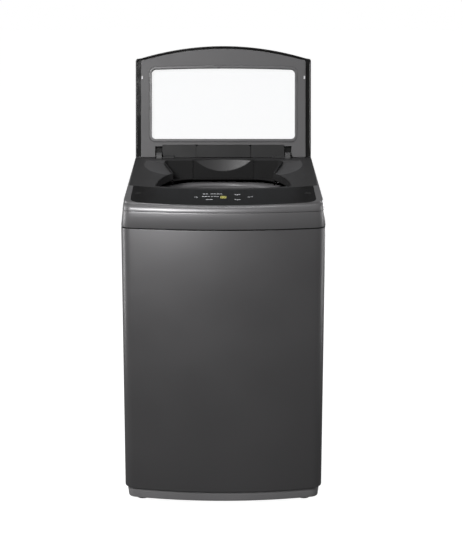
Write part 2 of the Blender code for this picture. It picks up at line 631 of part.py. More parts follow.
def make_suspension():
    """Each rod hangs from a gusset; the spring on its foot pushes up on the tub's lug."""
    head, foot, coil_low = CABINET_TOP + 0.0130, 0.1950, 0.2070
    coil_high = LUG_Z - GAP
    wire_radius, coil_radius, turns, per_turn = 0.0016, 0.0125, 5, 9
    for corner, (sx, sy) in CORNERS.items():
        x, y = sx * ROD_X, sy * ROD_Y
        profile = [(0.0, head + 0.010), (0.0055, head + 0.008), (0.0065, head + 0.003), (0.0055, head),
                   (0.0030, head), (0.0030, coil_low - GAP), (0.0165, coil_low - GAP), (0.0175, foot + 0.003),
                   (0.0160, foot), (0.0, foot)]
        turned("suspension_rod_" + corner, profile, ZINC_STEEL, closed=False, steps=12, at=(x, y, 0))
        points = []
        for i in range(turns * per_turn + 1):
            part = i / (turns * per_turn)
            turn = 2 * math.pi * turns * part
            height = coil_low + wire_radius + part * (coil_high - coil_low - 2 * wire_radius)
            points.append((x + coil_radius * math.cos(turn), y + coil_radius * math.sin(turn), height))
        wire("suspension_spring_" + corner, points, wire_radius, ZINC_STEEL, resolution=0)


def make_basket():
    """Stainless basket on its hub, weighted balance ring on top, lint filters on the wall."""
    r, z = BASKET_RADIUS, BASKET_FLOOR
    wall = [(r, RING_BOTTOM - GAP), (r, z + 0.012), (r - 0.012, z), (0.022, z), (0.022, z + SHEET),
            (r - 0.0123, z + SHEET), (r - SHEET, z + 0.0123), (r - SHEET, RING_BOTTOM - GAP)]
    turned("basket", wall, STAINLESS)
    ring = [(RING_OUTER, RING_TOP - 0.004), (RING_OUTER + 0.0035, RING_TOP - 0.030),
            (r, RING_BOTTOM + 0.004), (r, RING_BOTTOM), (RING_INNER + 0.020, RING_BOTTOM),
            (RING_INNER + 0.003, RING_BOTTOM + 0.010), (RING_INNER, RING_TOP - 0.012),
            (RING_INNER + 0.0015, RING_TOP - 0.009), (RING_INNER, RING_TOP - 0.006),
            (RING_INNER + 0.004, RING_TOP), (RING_OUTER - 0.006, RING_TOP)]
    turned("balance_ring", ring, RING_PLASTIC, steps=40)
    hub = [(0.150, z - GAP), (0.150, z - 0.006), (0.060, z - 0.010), (0.028, z - 0.012), (0.0180, z - 0.030),
           (0.0180, 0.1750), (0.0135, 0.1750), (0.0135, z - GAP)]
    turned("basket_hub", hub, ZINC_STEEL, steps=24)
    inner = r - SHEET - GAP * 2
    for side, sign in SIDES.items():
        case = box("lint_filter_" + side, (min(sign * 0.178, sign * 0.22), -0.045, 0.520),
                   (max(sign * 0.178, sign * 0.22), 0.045, 0.640), BLUE_PLASTIC)
        shape = turned("filter_shape_" + side, [(inner, 0.66), (inner, 0.50), (inner - 0.012, 0.50),
                                                (inner - 0.012, 0.66)])
        combine(case, shape, "INTERSECT")


def make_pulsator():
    """Wash plate with raised vanes, its screw cap, and the shaft down to the rotor."""
    z = BASKET_FLOOR + 0.006
    plate = [(0.0, z + 0.052), (0.026, z + 0.050), (0.042, z + 0.030), (0.100, z + 0.014), (0.160, z + 0.010),
             (0.166, z + 0.004), (0.160, z), (0.0, z)]
    disc = turned("pulsator", plate, TUB_PLASTIC, closed=False)
    for i in range(4):
        vane = box("vane_%d" % i, (0.020, -0.006, z + 0.005), (0.150, 0.006, z + 0.030), rounding=0.004)
        vane.rotation_euler = (0, 0, i * math.pi / 2 + 0.3)
        combine(disc, vane, "UNION")
    combine(disc, [rod("shaft_socket", (0, 0, z - 0.01), (0, 0, z + 0.030), 0.0105),
                   rod("cap_seat", (0, 0, z + 0.040), (0, 0, z + 0.07), 0.0155)])
    turned("pulsator_cap", [(0.0, z + 0.056), (0.010, z + 0.055), (0.0150, z + 0.050), (0.0150, z + 0.0405),
                            (0.0, z + 0.0405)], RING_PLASTIC, closed=False, steps=24)
    rod("drive_shaft", (0, 0, 0.1300), (0, 0, z + 0.028), 0.0100, ZINC_STEEL, sides=32)


def make_motor():
    """Direct drive motor under the tub: housing and stator on the tub, rotor on the shaft."""
    z = TUB_FLOOR
    housing = [(0.0455, z + 0.0045), (0.0455, z - GAP), (0.085, z - GAP), (0.085, z - 0.006),
               (0.034, z - 0.010), (0.034, 0.178), (0.0185, 0.178), (0.0185, z + 0.0045)]
    turned("bearing_housing", housing, ZINC_STEEL, steps=24)
    stator = turned("motor_stator", [(0.112, 0.2130), (0.112, 0.1880), (0.0345, 0.1880), (0.0345, 0.2130)],
                    COPPER)
    combine(stator, [rod("stator_slot_%d" % i, (0.075 * math.cos(a), 0.075 * math.sin(a), 0.17),
                         (0.075 * math.cos(a), 0.075 * math.sin(a), 0.23), 0.011, sides=8)
                     for i, a in enumerate([math.tau * (k + 0.3) / 9 for k in range(9)])])
    rotor = [(0.122, 0.2100), (0.122, 0.1560), (0.118, 0.1520), (0.0103, 0.1520), (0.0103, 0.1740),
             (0.0170, 0.1740), (0.0250, 0.1570), (0.1140, 0.1570), (0.1150, 0.1600), (0.1150, 0.2100)]
    turned("motor_rotor", rotor, ZINC_STEEL, steps=28)


def make_services():
    """Drain pump, its hose to the outlet, and the gland for the mains lead."""
    x, y, z = DRAIN_X, 0.190, DRAIN_Z
    pump = box("drain_pump", (0.115, 0.130, BASE_TOP + GAP), (0.205, 0.215, 0.1050), RING_PLASTIC,
               rounding=0.006)
    combine(pump, rod("pump_spout", (x, y, 0.100), (x, y, 0.1250), 0.0100), "UNION")
    bend = arc((y + 0.030, z - 0.030), 0.030, 180, 90, 10)
    route = [(x, y, 0.1253)] + [(x, along, up) for along, up in bend] + [(x, 0.2497, z)]
    wire("drain_hose", route, 0.0120, RUBBER, resolution=2)
    outlet = rod("drain_outlet", (x, 0.2500, z), (x, BACK_Y - 0.0003, z), 0.0160, RING_PLASTIC)
    combine(outlet, rod("outlet_bore", (x, 0.2540, z), (x, 0.30, z), 0.0120))
    gland = rod("cord_gland", (-0.20, 0.2640, 0.70), (-0.20, BACK_Y - 0.0001, 0.70), 0.0080, RUBBER)
    combine(gland, rod("gland_bore", (-0.20, 0.25, 0.70), (-0.20, 0.30, 0.70), 0.0040))


for make in (make_base, make_feet, make_cabinet, make_back_panel, make_top_band, make_top_cover, make_collar,
             make_control_panel, make_rear_cover, make_drawer_parts, make_valves, make_hinge_arms, make_lid,
             make_tub, make_suspension, make_basket, make_pulsator, make_motor, make_services):
    make()
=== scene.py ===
import math

import bmesh
import bpy
from mathutils import Matrix, Vector


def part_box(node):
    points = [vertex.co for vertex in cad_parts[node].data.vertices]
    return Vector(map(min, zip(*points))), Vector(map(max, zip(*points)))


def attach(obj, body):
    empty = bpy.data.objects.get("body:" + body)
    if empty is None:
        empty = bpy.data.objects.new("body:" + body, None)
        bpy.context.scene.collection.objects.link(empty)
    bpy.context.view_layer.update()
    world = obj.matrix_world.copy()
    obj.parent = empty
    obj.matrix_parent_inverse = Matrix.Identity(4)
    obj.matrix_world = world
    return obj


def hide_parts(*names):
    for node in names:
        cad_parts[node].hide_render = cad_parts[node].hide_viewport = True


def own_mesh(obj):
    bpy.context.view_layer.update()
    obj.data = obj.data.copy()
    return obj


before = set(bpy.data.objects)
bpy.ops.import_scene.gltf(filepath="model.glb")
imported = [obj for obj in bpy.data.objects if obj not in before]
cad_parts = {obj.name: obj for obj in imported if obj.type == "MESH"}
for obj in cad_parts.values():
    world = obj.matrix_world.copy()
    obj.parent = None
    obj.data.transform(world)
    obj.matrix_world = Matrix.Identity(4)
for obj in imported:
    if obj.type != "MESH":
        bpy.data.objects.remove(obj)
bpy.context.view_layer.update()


# ---- Plinth -------------------------------------------------------------------------------
# One grey moulding under the cabinet. Its skirt leans in towards the floor, and a shadow gap
# parts it from the steel above. The same plan outline is used again for every layer on top.
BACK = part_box("back_panel")[1].y
FRONT = -BACK
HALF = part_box("cabinet_shell")[1].x
BOW = 0.0285 / 0.235 ** 2          # the front falls back by this times x squared
FRONT_CORNER, REAR_CORNER = 0.035, 0.012      # the radii of the plan's corners
SKIRT_LOW, SKIRT_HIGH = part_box("base_frame")[0].z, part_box("base_frame")[1].z


def arc(centre, radius, start, stop, steps):
    angles = [math.radians(start + (stop - start) * i / steps) for i in range(steps + 1)]
    return [(centre[0] + radius * math.cos(a), centre[1] + radius * math.sin(a)) for a in angles]


def plan(side=0.0, front=0.0, back=0.0, steps=40, corner=12):
    """The machine seen from above: bowed front, round corners, straight sides and back."""
    half, face = HALF - side, FRONT + front
    radius, turn = max(FRONT_CORNER - side, 0.010), 0.0
    for _ in range(8):
        touch = half - radius + radius * math.sin(turn)
        turn = math.atan(2 * BOW * touch)
    across = [touch * (2 * i / steps - 1) for i in range(steps)]
    run = [(x, face + BOW * x ** 2) for x in across]
    middle = face + BOW * touch ** 2 + radius * math.cos(turn)
    right = arc((half - radius, middle), radius, math.degrees(turn) - 90, 0, corner)
    rear = arc((half - REAR_CORNER, BACK - back - REAR_CORNER), REAR_CORNER, 0, 90, 5)
    left = [(-x, y) for x, y in reversed(right + rear)]
    return run + right + rear + left[:-1]


def level(outline, z):
    return [Vector((x, y, z)) for x, y in outline]


def skin(name, rings, loop=False, caps=False):
    """Stretch faces over a stack of rings. A loop closes the last ring on the first, as a thin wall."""
    shape = bmesh.new()
    rows = [[shape.verts.new(point) for point in ring] for ring in rings]
    for low, high in zip(rows, rows[1:] + rows[:1] if loop else rows[1:]):
        for i, corner in enumerate(low):
            j = (i + 1) % len(low)
            shape.faces.new((corner, low[j], high[j], high[i]))
    if caps:
        shape.faces.new(list(reversed(rows[0])))
        shape.faces.new(rows[-1])
    bmesh.ops.recalc_face_normals(shape, faces=shape.faces)
    return hold(name, shape)


def hold(name, shape):
    mesh = bpy.data.meshes.new(name)
    shape.to_mesh(mesh)
    shape.free()
    made = bpy.data.objects.new(name, mesh)
    bpy.context.scene.collection.objects.link(made)
    return shade(made)


def shade(made, angle=32):
    made.data.shade_smooth()
    made.data.set_sharp_from_angle(angle=math.radians(angle))
    return made


def flatten(made):
    """Turn a piece and its modifiers into a plain mesh."""
    seen = made.evaluated_get(bpy.context.evaluated_depsgraph_get())
    mesh = bpy.data.meshes.new_from_object(seen)
    made.modifiers.clear()
    made.data = mesh
    return made


def soften(made, width, segments=3, angle=32):
    """Round a piece's edges, as a mould or a press leaves them."""
    edge = made.modifiers.new("edge", "BEVEL")
    edge.width, edge.segments = width, segments
    edge.limit_method, edge.angle_limit = "ANGLE", math.radians(angle)
    edge.harden_normals = True
    shade(flatten(made), angle)
    level_shading = made.modifiers.new("level_shading", "WEIGHTED_NORMAL")
    level_shading.keep_sharp = True
    return flatten(made)


def carve(made, *tools, operation="DIFFERENCE"):
    for tool in tools:
        step = made.modifiers.new("step", "BOOLEAN")
        step.operation, step.solver, step.object = operation, "EXACT", tool
        flatten(made)
        bpy.data.objects.remove(tool)
    return shade(made)


def rolled_wall(name, low, high, thickness, roll, lean=0.0, inset=0.0, back=0.0):
    """A band that follows the plan, its rims rolled in, with an inner face behind."""
    rings = []
    for drop, rise in ((roll, 0.0), (roll * 0.3, roll * 0.3), (0.0, roll)):
        rings.append(level(plan(inset + drop, inset + drop, back + drop), low + rise))
    for drop, rise in ((0.0, roll), (roll * 0.3, roll * 0.3), (roll, 0.0)):
        rings.append(level(plan(inset + drop + lean, inset + drop, back + drop), high - rise))
    rings.append(level(plan(inset + thickness + lean, inset + thickness, back + thickness), high - 0.0002))
    rings.append(level(plan(inset + thickness, inset + thickness, back + thickness), low + 0.0002))
    return skin(name, rings, loop=True)


class Signal:
    """A shader value that adds a Math node for every operator used on it."""

    def __init__(self, tree, socket):
        self.tree, self.socket = tree, socket

    def work(self, operation, other, flip=False):
        node = self.tree.nodes.new("ShaderNodeMath")
        node.operation = operation
        for place, value in zip(node.inputs, (other, self) if flip else (self, other)):
            if isinstance(value, Signal):
                self.tree.links.new(value.socket, place)
            else:
                place.default_value = value
        return Signal(self.tree, node.outputs[0])

    def __add__(self, other):
        return self.work("ADD", other)

    __radd__ = __add__

    def __sub__(self, other):
        return self.work("SUBTRACT", other)

    def __rsub__(self, other):
        return self.work("SUBTRACT", other, True)

    def __mul__(self, other):
        return self.work("MULTIPLY", other)

    __rmul__ = __mul__

    def __truediv__(self, other):
        return self.work("DIVIDE", other)

    def __gt__(self, other):
        return self.work("GREATER_THAN", other)

    def __lt__(self, other):
        return self.work("LESS_THAN", other)


class Finish:
    """One material: a principled surface and whatever nodes feed it."""

    def __init__(self, name, **settings):
        self.material = bpy.data.materials.new(name)
        self.material.use_nodes = True
        self.tree = self.material.node_tree
        self.surface = self.tree.nodes["Principled BSDF"]
        for socket, value in settings.items():
            self.surface.inputs[socket.replace("_", " ")].default_value = value
        self.place = self.node("ShaderNodeTexCoord", output="Object")

    def node(self, kind, settings=None, inputs=None, output=0):
        made = self.tree.nodes.new(kind)
        for key, value in (settings or {}).items():
            setattr(made, key, value)
        for key, value in (inputs or {}).items():
            self.feed(made.inputs[key], value)
        return Signal(self.tree, made.outputs[output])

    def feed(self, socket, value):
        if isinstance(value, Signal):
            self.tree.links.new(value.socket, socket)
        else:
            socket.default_value = value

    def noise(self, scale, detail=3.0, stretch=(1, 1, 1)):
        spread = self.node("ShaderNodeMapping", None, {"Vector": self.place, "Scale": stretch}, "Vector")
        return self.node("ShaderNodeTexNoise", None, {"Vector": spread, "Scale": scale, "Detail": detail})

    def blend(self, mask, first, second):
        return self.node("ShaderNodeMix", {"data_type": "RGBA"}, {0: mask, 6: first, 7: second}, 2)

    def ramp(self, value, *stops):
        made = self.tree.nodes.new("ShaderNodeMapRange")
        made.interpolation_type = "SMOOTHSTEP"
        for key, number in zip(("From Min", "From Max", "To Min", "To Max"), stops):
            made.inputs[key].default_value = number
        self.feed(made.inputs["Value"], value)
        return Signal(self.tree, made.outputs[0])

    def axis(self, letter):
        return self.node("ShaderNodeSeparateXYZ", None, {0: self.place}, letter)

    def bump(self, height, strength, distance=0.0005):
        relief = self.node("ShaderNodeBump", None,
                           {"Height": height, "Strength": strength, "Distance": distance})
        self.feed(self.surface.inputs["Normal"], relief)

    def set(self, **values):
        for socket, value in values.items():
            self.feed(self.surface.inputs[socket.replace("_", " ")], value)
        return self


def grey(level_seen):
    """A neutral, slightly cool grey, given as it looks on a screen from 0 to 255."""
    linear = ((level_seen / 255 + 0.055) / 1.055) ** 2.4
    return (linear, linear * 0.985, linear * 1.01, 1.0)


def moulded(name, dark, light, roughness, grain=900.0, relief=0.12, **settings):
    """Moulded plastic: slow tone drift, fine spark-eroded grain, and roughness that varies a little at random.
    """
    made = Finish(name, **settings)
    drift = made.noise(3.5, 2.0)
    fine = made.noise(grain, 2.0)
    spread = made.ramp(drift + fine * 0.25, 0.35, 0.85, 0.0, 1.0)
    made.set(Base_Color=made.blend(spread, grey(dark), grey(light)),
             Roughness=made.ramp(made.noise(14.0), 0.3, 0.7, roughness - 0.03, roughness + 0.05))
    made.bump(fine, relief, 0.0002)
    return made.material


def dress(made, material, body="cabinet", stands_for=()):
    """Give a piece its finish, and tie it to its body and to the nodes that it stands for."""
    made.data.materials.clear()
    made.data.materials.append(material)
    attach(made, body)
    if stands_for:
        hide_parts(*stands_for)
    return made


PLINTH_GREY = moulded("plinth_grey", 132, 142, 0.55, 700.0, 0.25)
skirt_profile = ((0.0125, SKIRT_LOW), (0.0102, SKIRT_LOW + 0.0008), (0.0094, SKIRT_LOW + 0.0026),
                 (0.0064, SKIRT_HIGH - 0.0022), (0.0075, SKIRT_HIGH - 0.0006), (0.0098, SKIRT_HIGH),
                 (0.0300, SKIRT_HIGH), (0.0300, SKIRT_LOW))
skirt = skin("plinth_skirt", [level(plan(inset, inset, inset), z) for inset, z in skirt_profile], loop=True)
dress(skirt, PLINTH_GREY, stands_for=["base_frame"])


def copy_of(node):
    """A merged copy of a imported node, ready for rounding."""
    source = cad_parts[node]
    shape = bmesh.new()
    shape.from_mesh(source.data)
    bmesh.ops.remove_doubles(shape, verts=shape.verts, dist=0.00002)
    bmesh.ops.dissolve_limit(shape, angle_limit=math.radians(1.0), verts=shape.verts, edges=shape.edges)
    return hold(node + "_made", shape)


corner_blocks = copy_of("base_frame")
corner_blocks.data.transform(Matrix.Diagonal((0.97, 0.97, 1.0, 1.0)))
corner_blocks.data.transform(Matrix.Translation((0, 0, 0.0008)) @ Matrix.Diagonal((1.0, 1.0, 0.96, 1.0)))
dress(corner_blocks, PLINTH_GREY)


# ---- Levelling feet -----------------------------------------------------------------------
# Black rubber pads on threaded stems, screwed up into the corners of the plinth. Each turns up or
# down on its thread until the cabinet stands level.
CORNERS = ("front_left", "front_right", "rear_left", "rear_right")


def rubber(name, tone):
    made = Finish(name, Specular_IOR_Level=0.3)
    fine = made.noise(420.0, 4.0)
    made.set(Base_Color=made.blend(made.ramp(fine, 0.4, 0.7, 0.0, 1.0), grey(tone), grey(tone + 14)),
             Roughness=made.ramp(fine, 0.3, 0.7, 0.70, 0.88))
    made.bump(fine, 0.35, 0.0003)
    return made.material


BLACK_RUBBER = rubber("black_rubber", 26)
for corner in CORNERS:
    node = "levelling_foot_" + corner
    pad = copy_of(node)
    soften(pad, 0.0006, 2, 25)
    dress(pad, BLACK_RUBBER, "foot_" + corner, [node])


# ---- Cabinet ------------------------------------------------------------------------------
# Lacquered sheet steel, bent once round the front and sides, with its rims rolled in at the seams.
# The lacquer is a satin charcoal with a very fine flake.
SHEET_LOW, SHEET_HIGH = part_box("cabinet_shell")[0].z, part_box("cabinet_shell")[1].z


def lacquer(name, dark, light, roughness):
    made = Finish(name, Metallic=0.6, Coat_Roughness=0.22, Specular_IOR_Level=0.4)
    flake = made.noise(2600.0, 1.0)
    drift = made.noise(2.2, 2.0)
    sparkle = made.ramp(drift * 0.5 + flake * 0.5, 0.35, 0.65, 0.0, 1.0)
    made.set(Base_Color=made.blend(sparkle, grey(dark), grey(light)),
             Roughness=made.ramp(made.noise(9.0), 0.3, 0.7, roughness - 0.02, roughness + 0.03),
             Coat_Weight=made.ramp(drift, 0.2, 0.8, 0.12, 0.18))
    made.bump(made.noise(260.0, 2.0), 0.05, 0.0002)
    return made.material


CHARCOAL_LACQUER = lacquer("charcoal_lacquer", 104, 112, 0.44)
shell = rolled_wall("cabinet_skin", SHEET_LOW, SHEET_HIGH, 0.0008, 0.0030, back=0.0015)
dress(shell, CHARCOAL_LACQUER, stands_for=["cabinet_shell"])


# ---- Back panel ---------------------------------------------------------------------------
# A flat lacquered sheet, stiffened by a pressed frame and ribs, held by a column of screws each side.
# The screws and the ribs are rows of one small shape, and so are the air slots cut through it.
class Growth:
    """A Geometry Nodes tree with named inputs, whose result is kept as a plain mesh."""

    def __init__(self, name, **inputs):
        self.tree = bpy.data.node_groups.new(name, "GeometryNodeTree")
        self.tree.interface.new_socket("Geometry", in_out="OUTPUT", socket_type="NodeSocketGeometry")
        for label, kind in inputs.items():
            self.tree.interface.new_socket(label, in_out="INPUT", socket_type="NodeSocket" + kind)
        self.entry = self.tree.nodes.new("NodeGroupInput")
        self.exit = self.tree.nodes.new("NodeGroupOutput")

    def given(self, label):
        return Signal(self.tree, self.entry.outputs[label])

    def node(self, kind, settings=None, inputs=None, output=0):
        return Finish.node(self, kind, settings, inputs, output)

    def feed(self, socket, value):
        Finish.feed(self, socket, value)

    def line_of_points(self):
        return self.node("GeometryNodeMeshLine", {"mode": "OFFSET"},
                         {"Count": self.given("Count"), "Start Location": self.given("Start"),
                          "Offset": self.given("Step")})

    def close(self, geometry):
        real = self.node("GeometryNodeRealizeInstances", None, {"Geometry": geometry})
        painted = self.node("GeometryNodeSetMaterial", None,
                            {"Geometry": real, "Material": self.given("Material")})
        self.feed(self.exit.inputs["Geometry"], painted)
        return self

    def grow(self, name, material, **values):
        made = bpy.data.objects.new(name, bpy.data.meshes.new(name))
        bpy.context.scene.collection.objects.link(made)
        growth = made.modifiers.new("growth", "NODES")
        growth.node_group = self.tree
        values["Material"] = material
        for item in self.tree.interface.items_tree:
            if item.in_out == "INPUT" and item.name in values:
                growth[item.identifier] = values[item.name]
        return shade(flatten(made))


def row_tree():
    """Blocks in a straight row."""
    row = Growth("row_of_blocks", Start="Vector", Step="Vector", Count="Int", Size="Vector",
                 Material="Material")
    line = row.line_of_points()
    block = row.node("GeometryNodeMeshCube", None, {"Size": row.given("Size")})
    return row.close(row.node("GeometryNodeInstanceOnPoints", None, {"Points": line, "Instance": block}))


def stud_tree():
    """Round heads in a straight row, facing back."""
    row = Growth("row_of_heads", Start="Vector", Step="Vector", Count="Int", Rim="Float", Crown="Float",
                 Depth="Float", Material="Material")
    line = row.line_of_points()
    head = row.node("GeometryNodeMeshCone", None,
                    {"Vertices": 20, "Radius Bottom": row.given("Rim"), "Radius Top": row.given("Crown"),
                     "Depth": row.given("Depth")})
    turn = (-math.pi / 2, 0.0, 0.0)
    return row.close(row.node("GeometryNodeInstanceOnPoints", None,
                              {"Points": line, "Instance": head, "Rotation": turn}))


BLOCK_ROW, HEAD_ROW = row_tree(), stud_tree()
panel_low, panel_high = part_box("back_panel")


def slab(name, low, high):
    shape = bmesh.new()
    low, high = Vector(low), Vector(high)
    bmesh.ops.create_cube(shape, size=1.0, matrix=Matrix.Translation((low + high) / 2)
                          @ Matrix.Diagonal((*(high - low), 1.0)))
    return hold(name, shape)


def drum(name, start, end, radius, sides=64):
    start, end = Vector(start), Vector(end)
    turn = (end - start).to_track_quat("Z", "Y").to_matrix().to_4x4()
    shape = bmesh.new()
    bmesh.ops.create_cone(shape, cap_ends=True, segments=sides, radius1=radius, radius2=radius,
                          depth=(end - start).length, matrix=Matrix.Translation((start + end) / 2) @ turn)
    return hold(name, shape)


REAR_FACE = panel_high.y - 0.0007   # the screw heads stand proud of the sheet's face
rear_sheet = slab("rear_sheet", (panel_low.x, panel_low.y - 0.0004, panel_low.z),
                  (panel_high.x, REAR_FACE, panel_high.z))
pressed = slab("pressed_field", (panel_low.x + 0.045, REAR_FACE - 0.0004, panel_low.z + 0.19),
               (panel_high.x - 0.045, 0.4, panel_high.z - 0.10))
drain_low, drain_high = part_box("drain_outlet")
gland_low, gland_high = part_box("cord_gland")
drain_x, drain_z = (drain_low.x + drain_high.x) / 2, (drain_low.z + drain_high.z) / 2
gland_x, gland_z = (gland_low.x + gland_high.x) / 2, (gland_low.z + gland_high.z) / 2
# One flat black: the own colour of black parts, and painted shade in recesses and gaps.
SHADOW = moulded("black_and_painted_shade", 8, 12, 0.9)
slots = BLOCK_ROW.grow("air_slots", SHADOW, Start=(-0.060, REAR_FACE, 0.105), Step=(0.015, 0, 0), Count=9,
                       Size=(0.0045, 0.010, 0.042))
carve(rear_sheet, pressed, slots, drum("drain_hole", (drain_x, 0.2, drain_z), (drain_x, 0.4, drain_z), 0.0200),
      drum("gland_hole", (gland_x, 0.2, gland_z), (gland_x, 0.4, gland_z), 0.0085))
soften(rear_sheet, 0.00035, 2)
dress(rear_sheet, CHARCOAL_LACQUER, stands_for=["back_panel"])


def steel(name, tone, roughness, streak=(1, 1, 0.02), relief=0.10):
    made = Finish(name, Metallic=1.0)
    lines = made.noise(380.0, 3.0, streak)
    brushed = made.ramp(lines, 0.35, 0.65, 0.0, 1.0)
    made.set(Base_Color=made.blend(brushed, grey(tone - 16), grey(tone + 10)),
             Roughness=made.ramp(lines, 0.3, 0.7, roughness - 0.05, roughness + 0.08))
    made.bump(lines, relief, 0.0002)
    return made.material


ZINC = steel("zinc_plate", 190, 0.36, (1, 1, 1), 0.06)
SCREW_X, SCREW_LOW = 0.2445, panel_low.z + 0.030
column = {"Step": (0, 0, 0.165), "Count": 5}
for side in (-1, 1):
    heads = HEAD_ROW.grow("rear_screws", ZINC, Start=(side * SCREW_X, panel_high.y - 0.0013, SCREW_LOW),
                          Rim=0.0044, Crown=0.0036, Depth=0.0012, **column)
    dress(heads, ZINC)
    # The black crosses on the screw heads are painted shade, drawn where each head's recess would fall dark.
    for size in ((0.0042, 0.0016, 0.0009), (0.0009, 0.0016, 0.0042)):
        recess_shade = BLOCK_ROW.grow("rear_screw_recess_shade", SHADOW, Size=size, **column,
                                Start=(side * SCREW_X, panel_high.y - 0.0008, SCREW_LOW))
        dress(recess_shade, SHADOW)
ribs = BLOCK_ROW.grow("pressed_ribs", CHARCOAL_LACQUER, Start=(0, REAR_FACE - 0.0003, panel_low.z + 0.26),
                      Step=(0, 0, 0.085), Count=5, Size=(0.36, 0.0008, 0.012))
soften(ribs, 0.00035, 2)
dress(ribs, CHARCOAL_LACQUER)


# ---- Top band -----------------------------------------------------------------------------
# A moulding that caps the cabinet, flush with it in front. A black lip in the seam below doubles as
# painted shade for the seam's shadow line, and a black strip inside at the back is painted shade.
# The moulding's corner gussets carry the suspension rods.
TRIM_GREY = lacquer("trim_grey", 124, 134, 0.42)
BAND_LOW, BAND_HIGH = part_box("top_band")[0].z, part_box("top_band")[1].z
LEAN = 0.103                       # the cover's sides lean in by this slope
band = rolled_wall("top_band_skin", BAND_LOW, BAND_HIGH, 0.003, 0.0026, lean=LEAN * (BAND_HIGH - BAND_LOW))
dress(band, TRIM_GREY)
gussets = copy_of("top_band")
gussets.data.transform(Matrix.Translation((0, 0, BAND_LOW * 0.04)) @ Matrix.Diagonal((0.985, 0.985, 0.96, 1.0)))
dress(gussets, moulded("gusset_plastic", 70, 78, 0.55), stands_for=["top_band"])
# A black strip inside the band at the back is painted shade. It darkens what shows of the band's rear inside,
# under the drawer, through the wash opening.
rear_shade_strip = slab("rear_painted_shade_strip", (-0.200, 0.2765, 0.7950), (0.200, 0.2796, 0.8225))
dress(rear_shade_strip, SHADOW)
# A black rubber lip in the seam under the band, set forward until it shows as a dark line as wide as the seam's
# shadow: partly the lip's own colour, partly painted shade.
gasket_and_shade_line = rolled_wall("seam_gasket_and_shade_line", SHEET_HIGH - 0.003, BAND_LOW + 0.003, 0.0015, 0.0002,
                     inset=0.0006, back=0.0010)
dress(gasket_and_shade_line, SHADOW)


# ---- Suspension ---------------------------------------------------------------------------
# Four zinc plated rods hang in the gussets. A coil spring on each rod's foot pushes up on a lug of
# the tub, and squashes when the tub is pulled down by its load.
def coil(name, centre, radius, wire, low, high, turns, per_turn=28):
    path = bpy.data.curves.new(name, "CURVE")
    path.dimensions, path.bevel_depth, path.bevel_resolution, path.use_fill_caps = "3D", wire, 3, True
    line = path.splines.new("POLY")
    total = turns * per_turn
    line.points.add(total)
    for i, point in enumerate(line.points):
        t = i / total
        rise = min(max((t - 0.08) / 0.84, 0.0), 1.0)
        angle = math.tau * turns * t
        point.co = (centre[0] + radius * math.cos(angle), centre[1] + radius * math.sin(angle),
                    low + wire * (1 + 1.5 * min(t / 0.08, 1.0)) + rise * (high - low - 5 * wire)
                    + wire * 1.5 * max((t - 0.92) / 0.08, 0.0), 1.0)
    made = bpy.data.objects.new(name, path)
    bpy.context.scene.collection.objects.link(made)
    mesh = bpy.data.meshes.new_from_object(made.evaluated_get(bpy.context.evaluated_depsgraph_get()))
    bpy.data.objects.remove(made)
    made = bpy.data.objects.new(name, mesh)
    bpy.context.scene.collection.objects.link(made)
    return shade(made)


PIN_STEEL = steel("dull_pin_steel", 84, 0.55, (1, 1, 1), 0.05)
SPRING_STEEL = steel("spring_steel", 150, 0.40, (1, 1, 1), 0.05)
for corner in CORNERS:
    rod = copy_of("suspension_rod_" + corner)
    dress(soften(rod, 0.0004, 2), ZINC, stands_for=["suspension_rod_" + corner])
    low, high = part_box("suspension_spring_" + corner)
    spring = coil("spring_" + corner, ((low.x + high.x) / 2, (low.y + high.y) / 2), 0.0125, 0.0016,
                  low.z, high.z, 7)
    dress(spring, SPRING_STEEL, stands_for=["suspension_spring_" + corner])
    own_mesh(spring)


# ---- Tub and drive ------------------------------------------------------------------------
# A moulded grey polypropylene tub, stiffened by ribs and closed by a top ring, stands on the springs.
# The ring is painted near black, as painted shade for the dark seen under the drawer through the
# opening. The motor sits under the tub: a wound stator on the bearing housing, and a rotor on the shaft.
TUB_GREY = moulded("tub_polypropylene", 168, 180, 0.48, 240.0, 0.2)


def lathe(name, profile, steps=96, closed=True, at=(0.0, 0.0)):
    """Turn a profile of (radius, height) round a vertical axis."""
    shape = bmesh.new()
    loops = []
    for radius, height in profile:
        if radius == 0:
            loops.append([shape.verts.new((at[0], at[1], height))])
            continue
        angles = [math.tau * i / steps for i in range(steps)]
        loops.append([shape.verts.new((at[0] + radius * math.cos(a), at[1] + radius * math.sin(a), height))
                      for a in angles])
    for low, high in zip(loops, loops[1:] + loops[:1] if closed else loops[1:]):
        for i in range(steps):
            after = i + 1
            corners = [low[i % len(low)], low[after % len(low)], high[after % len(high)], high[i % len(high)]]
            shape.faces.new(list(dict.fromkeys(corners)))
    bmesh.ops.recalc_face_normals(shape, faces=shape.faces)
    return hold(name, shape)


def tidy_copy(node, width, material, body="cabinet", angle=32):
    """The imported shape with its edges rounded, in this scene's finish."""
    return dress(soften(copy_of(node), width, 2, angle), material, body, [node])


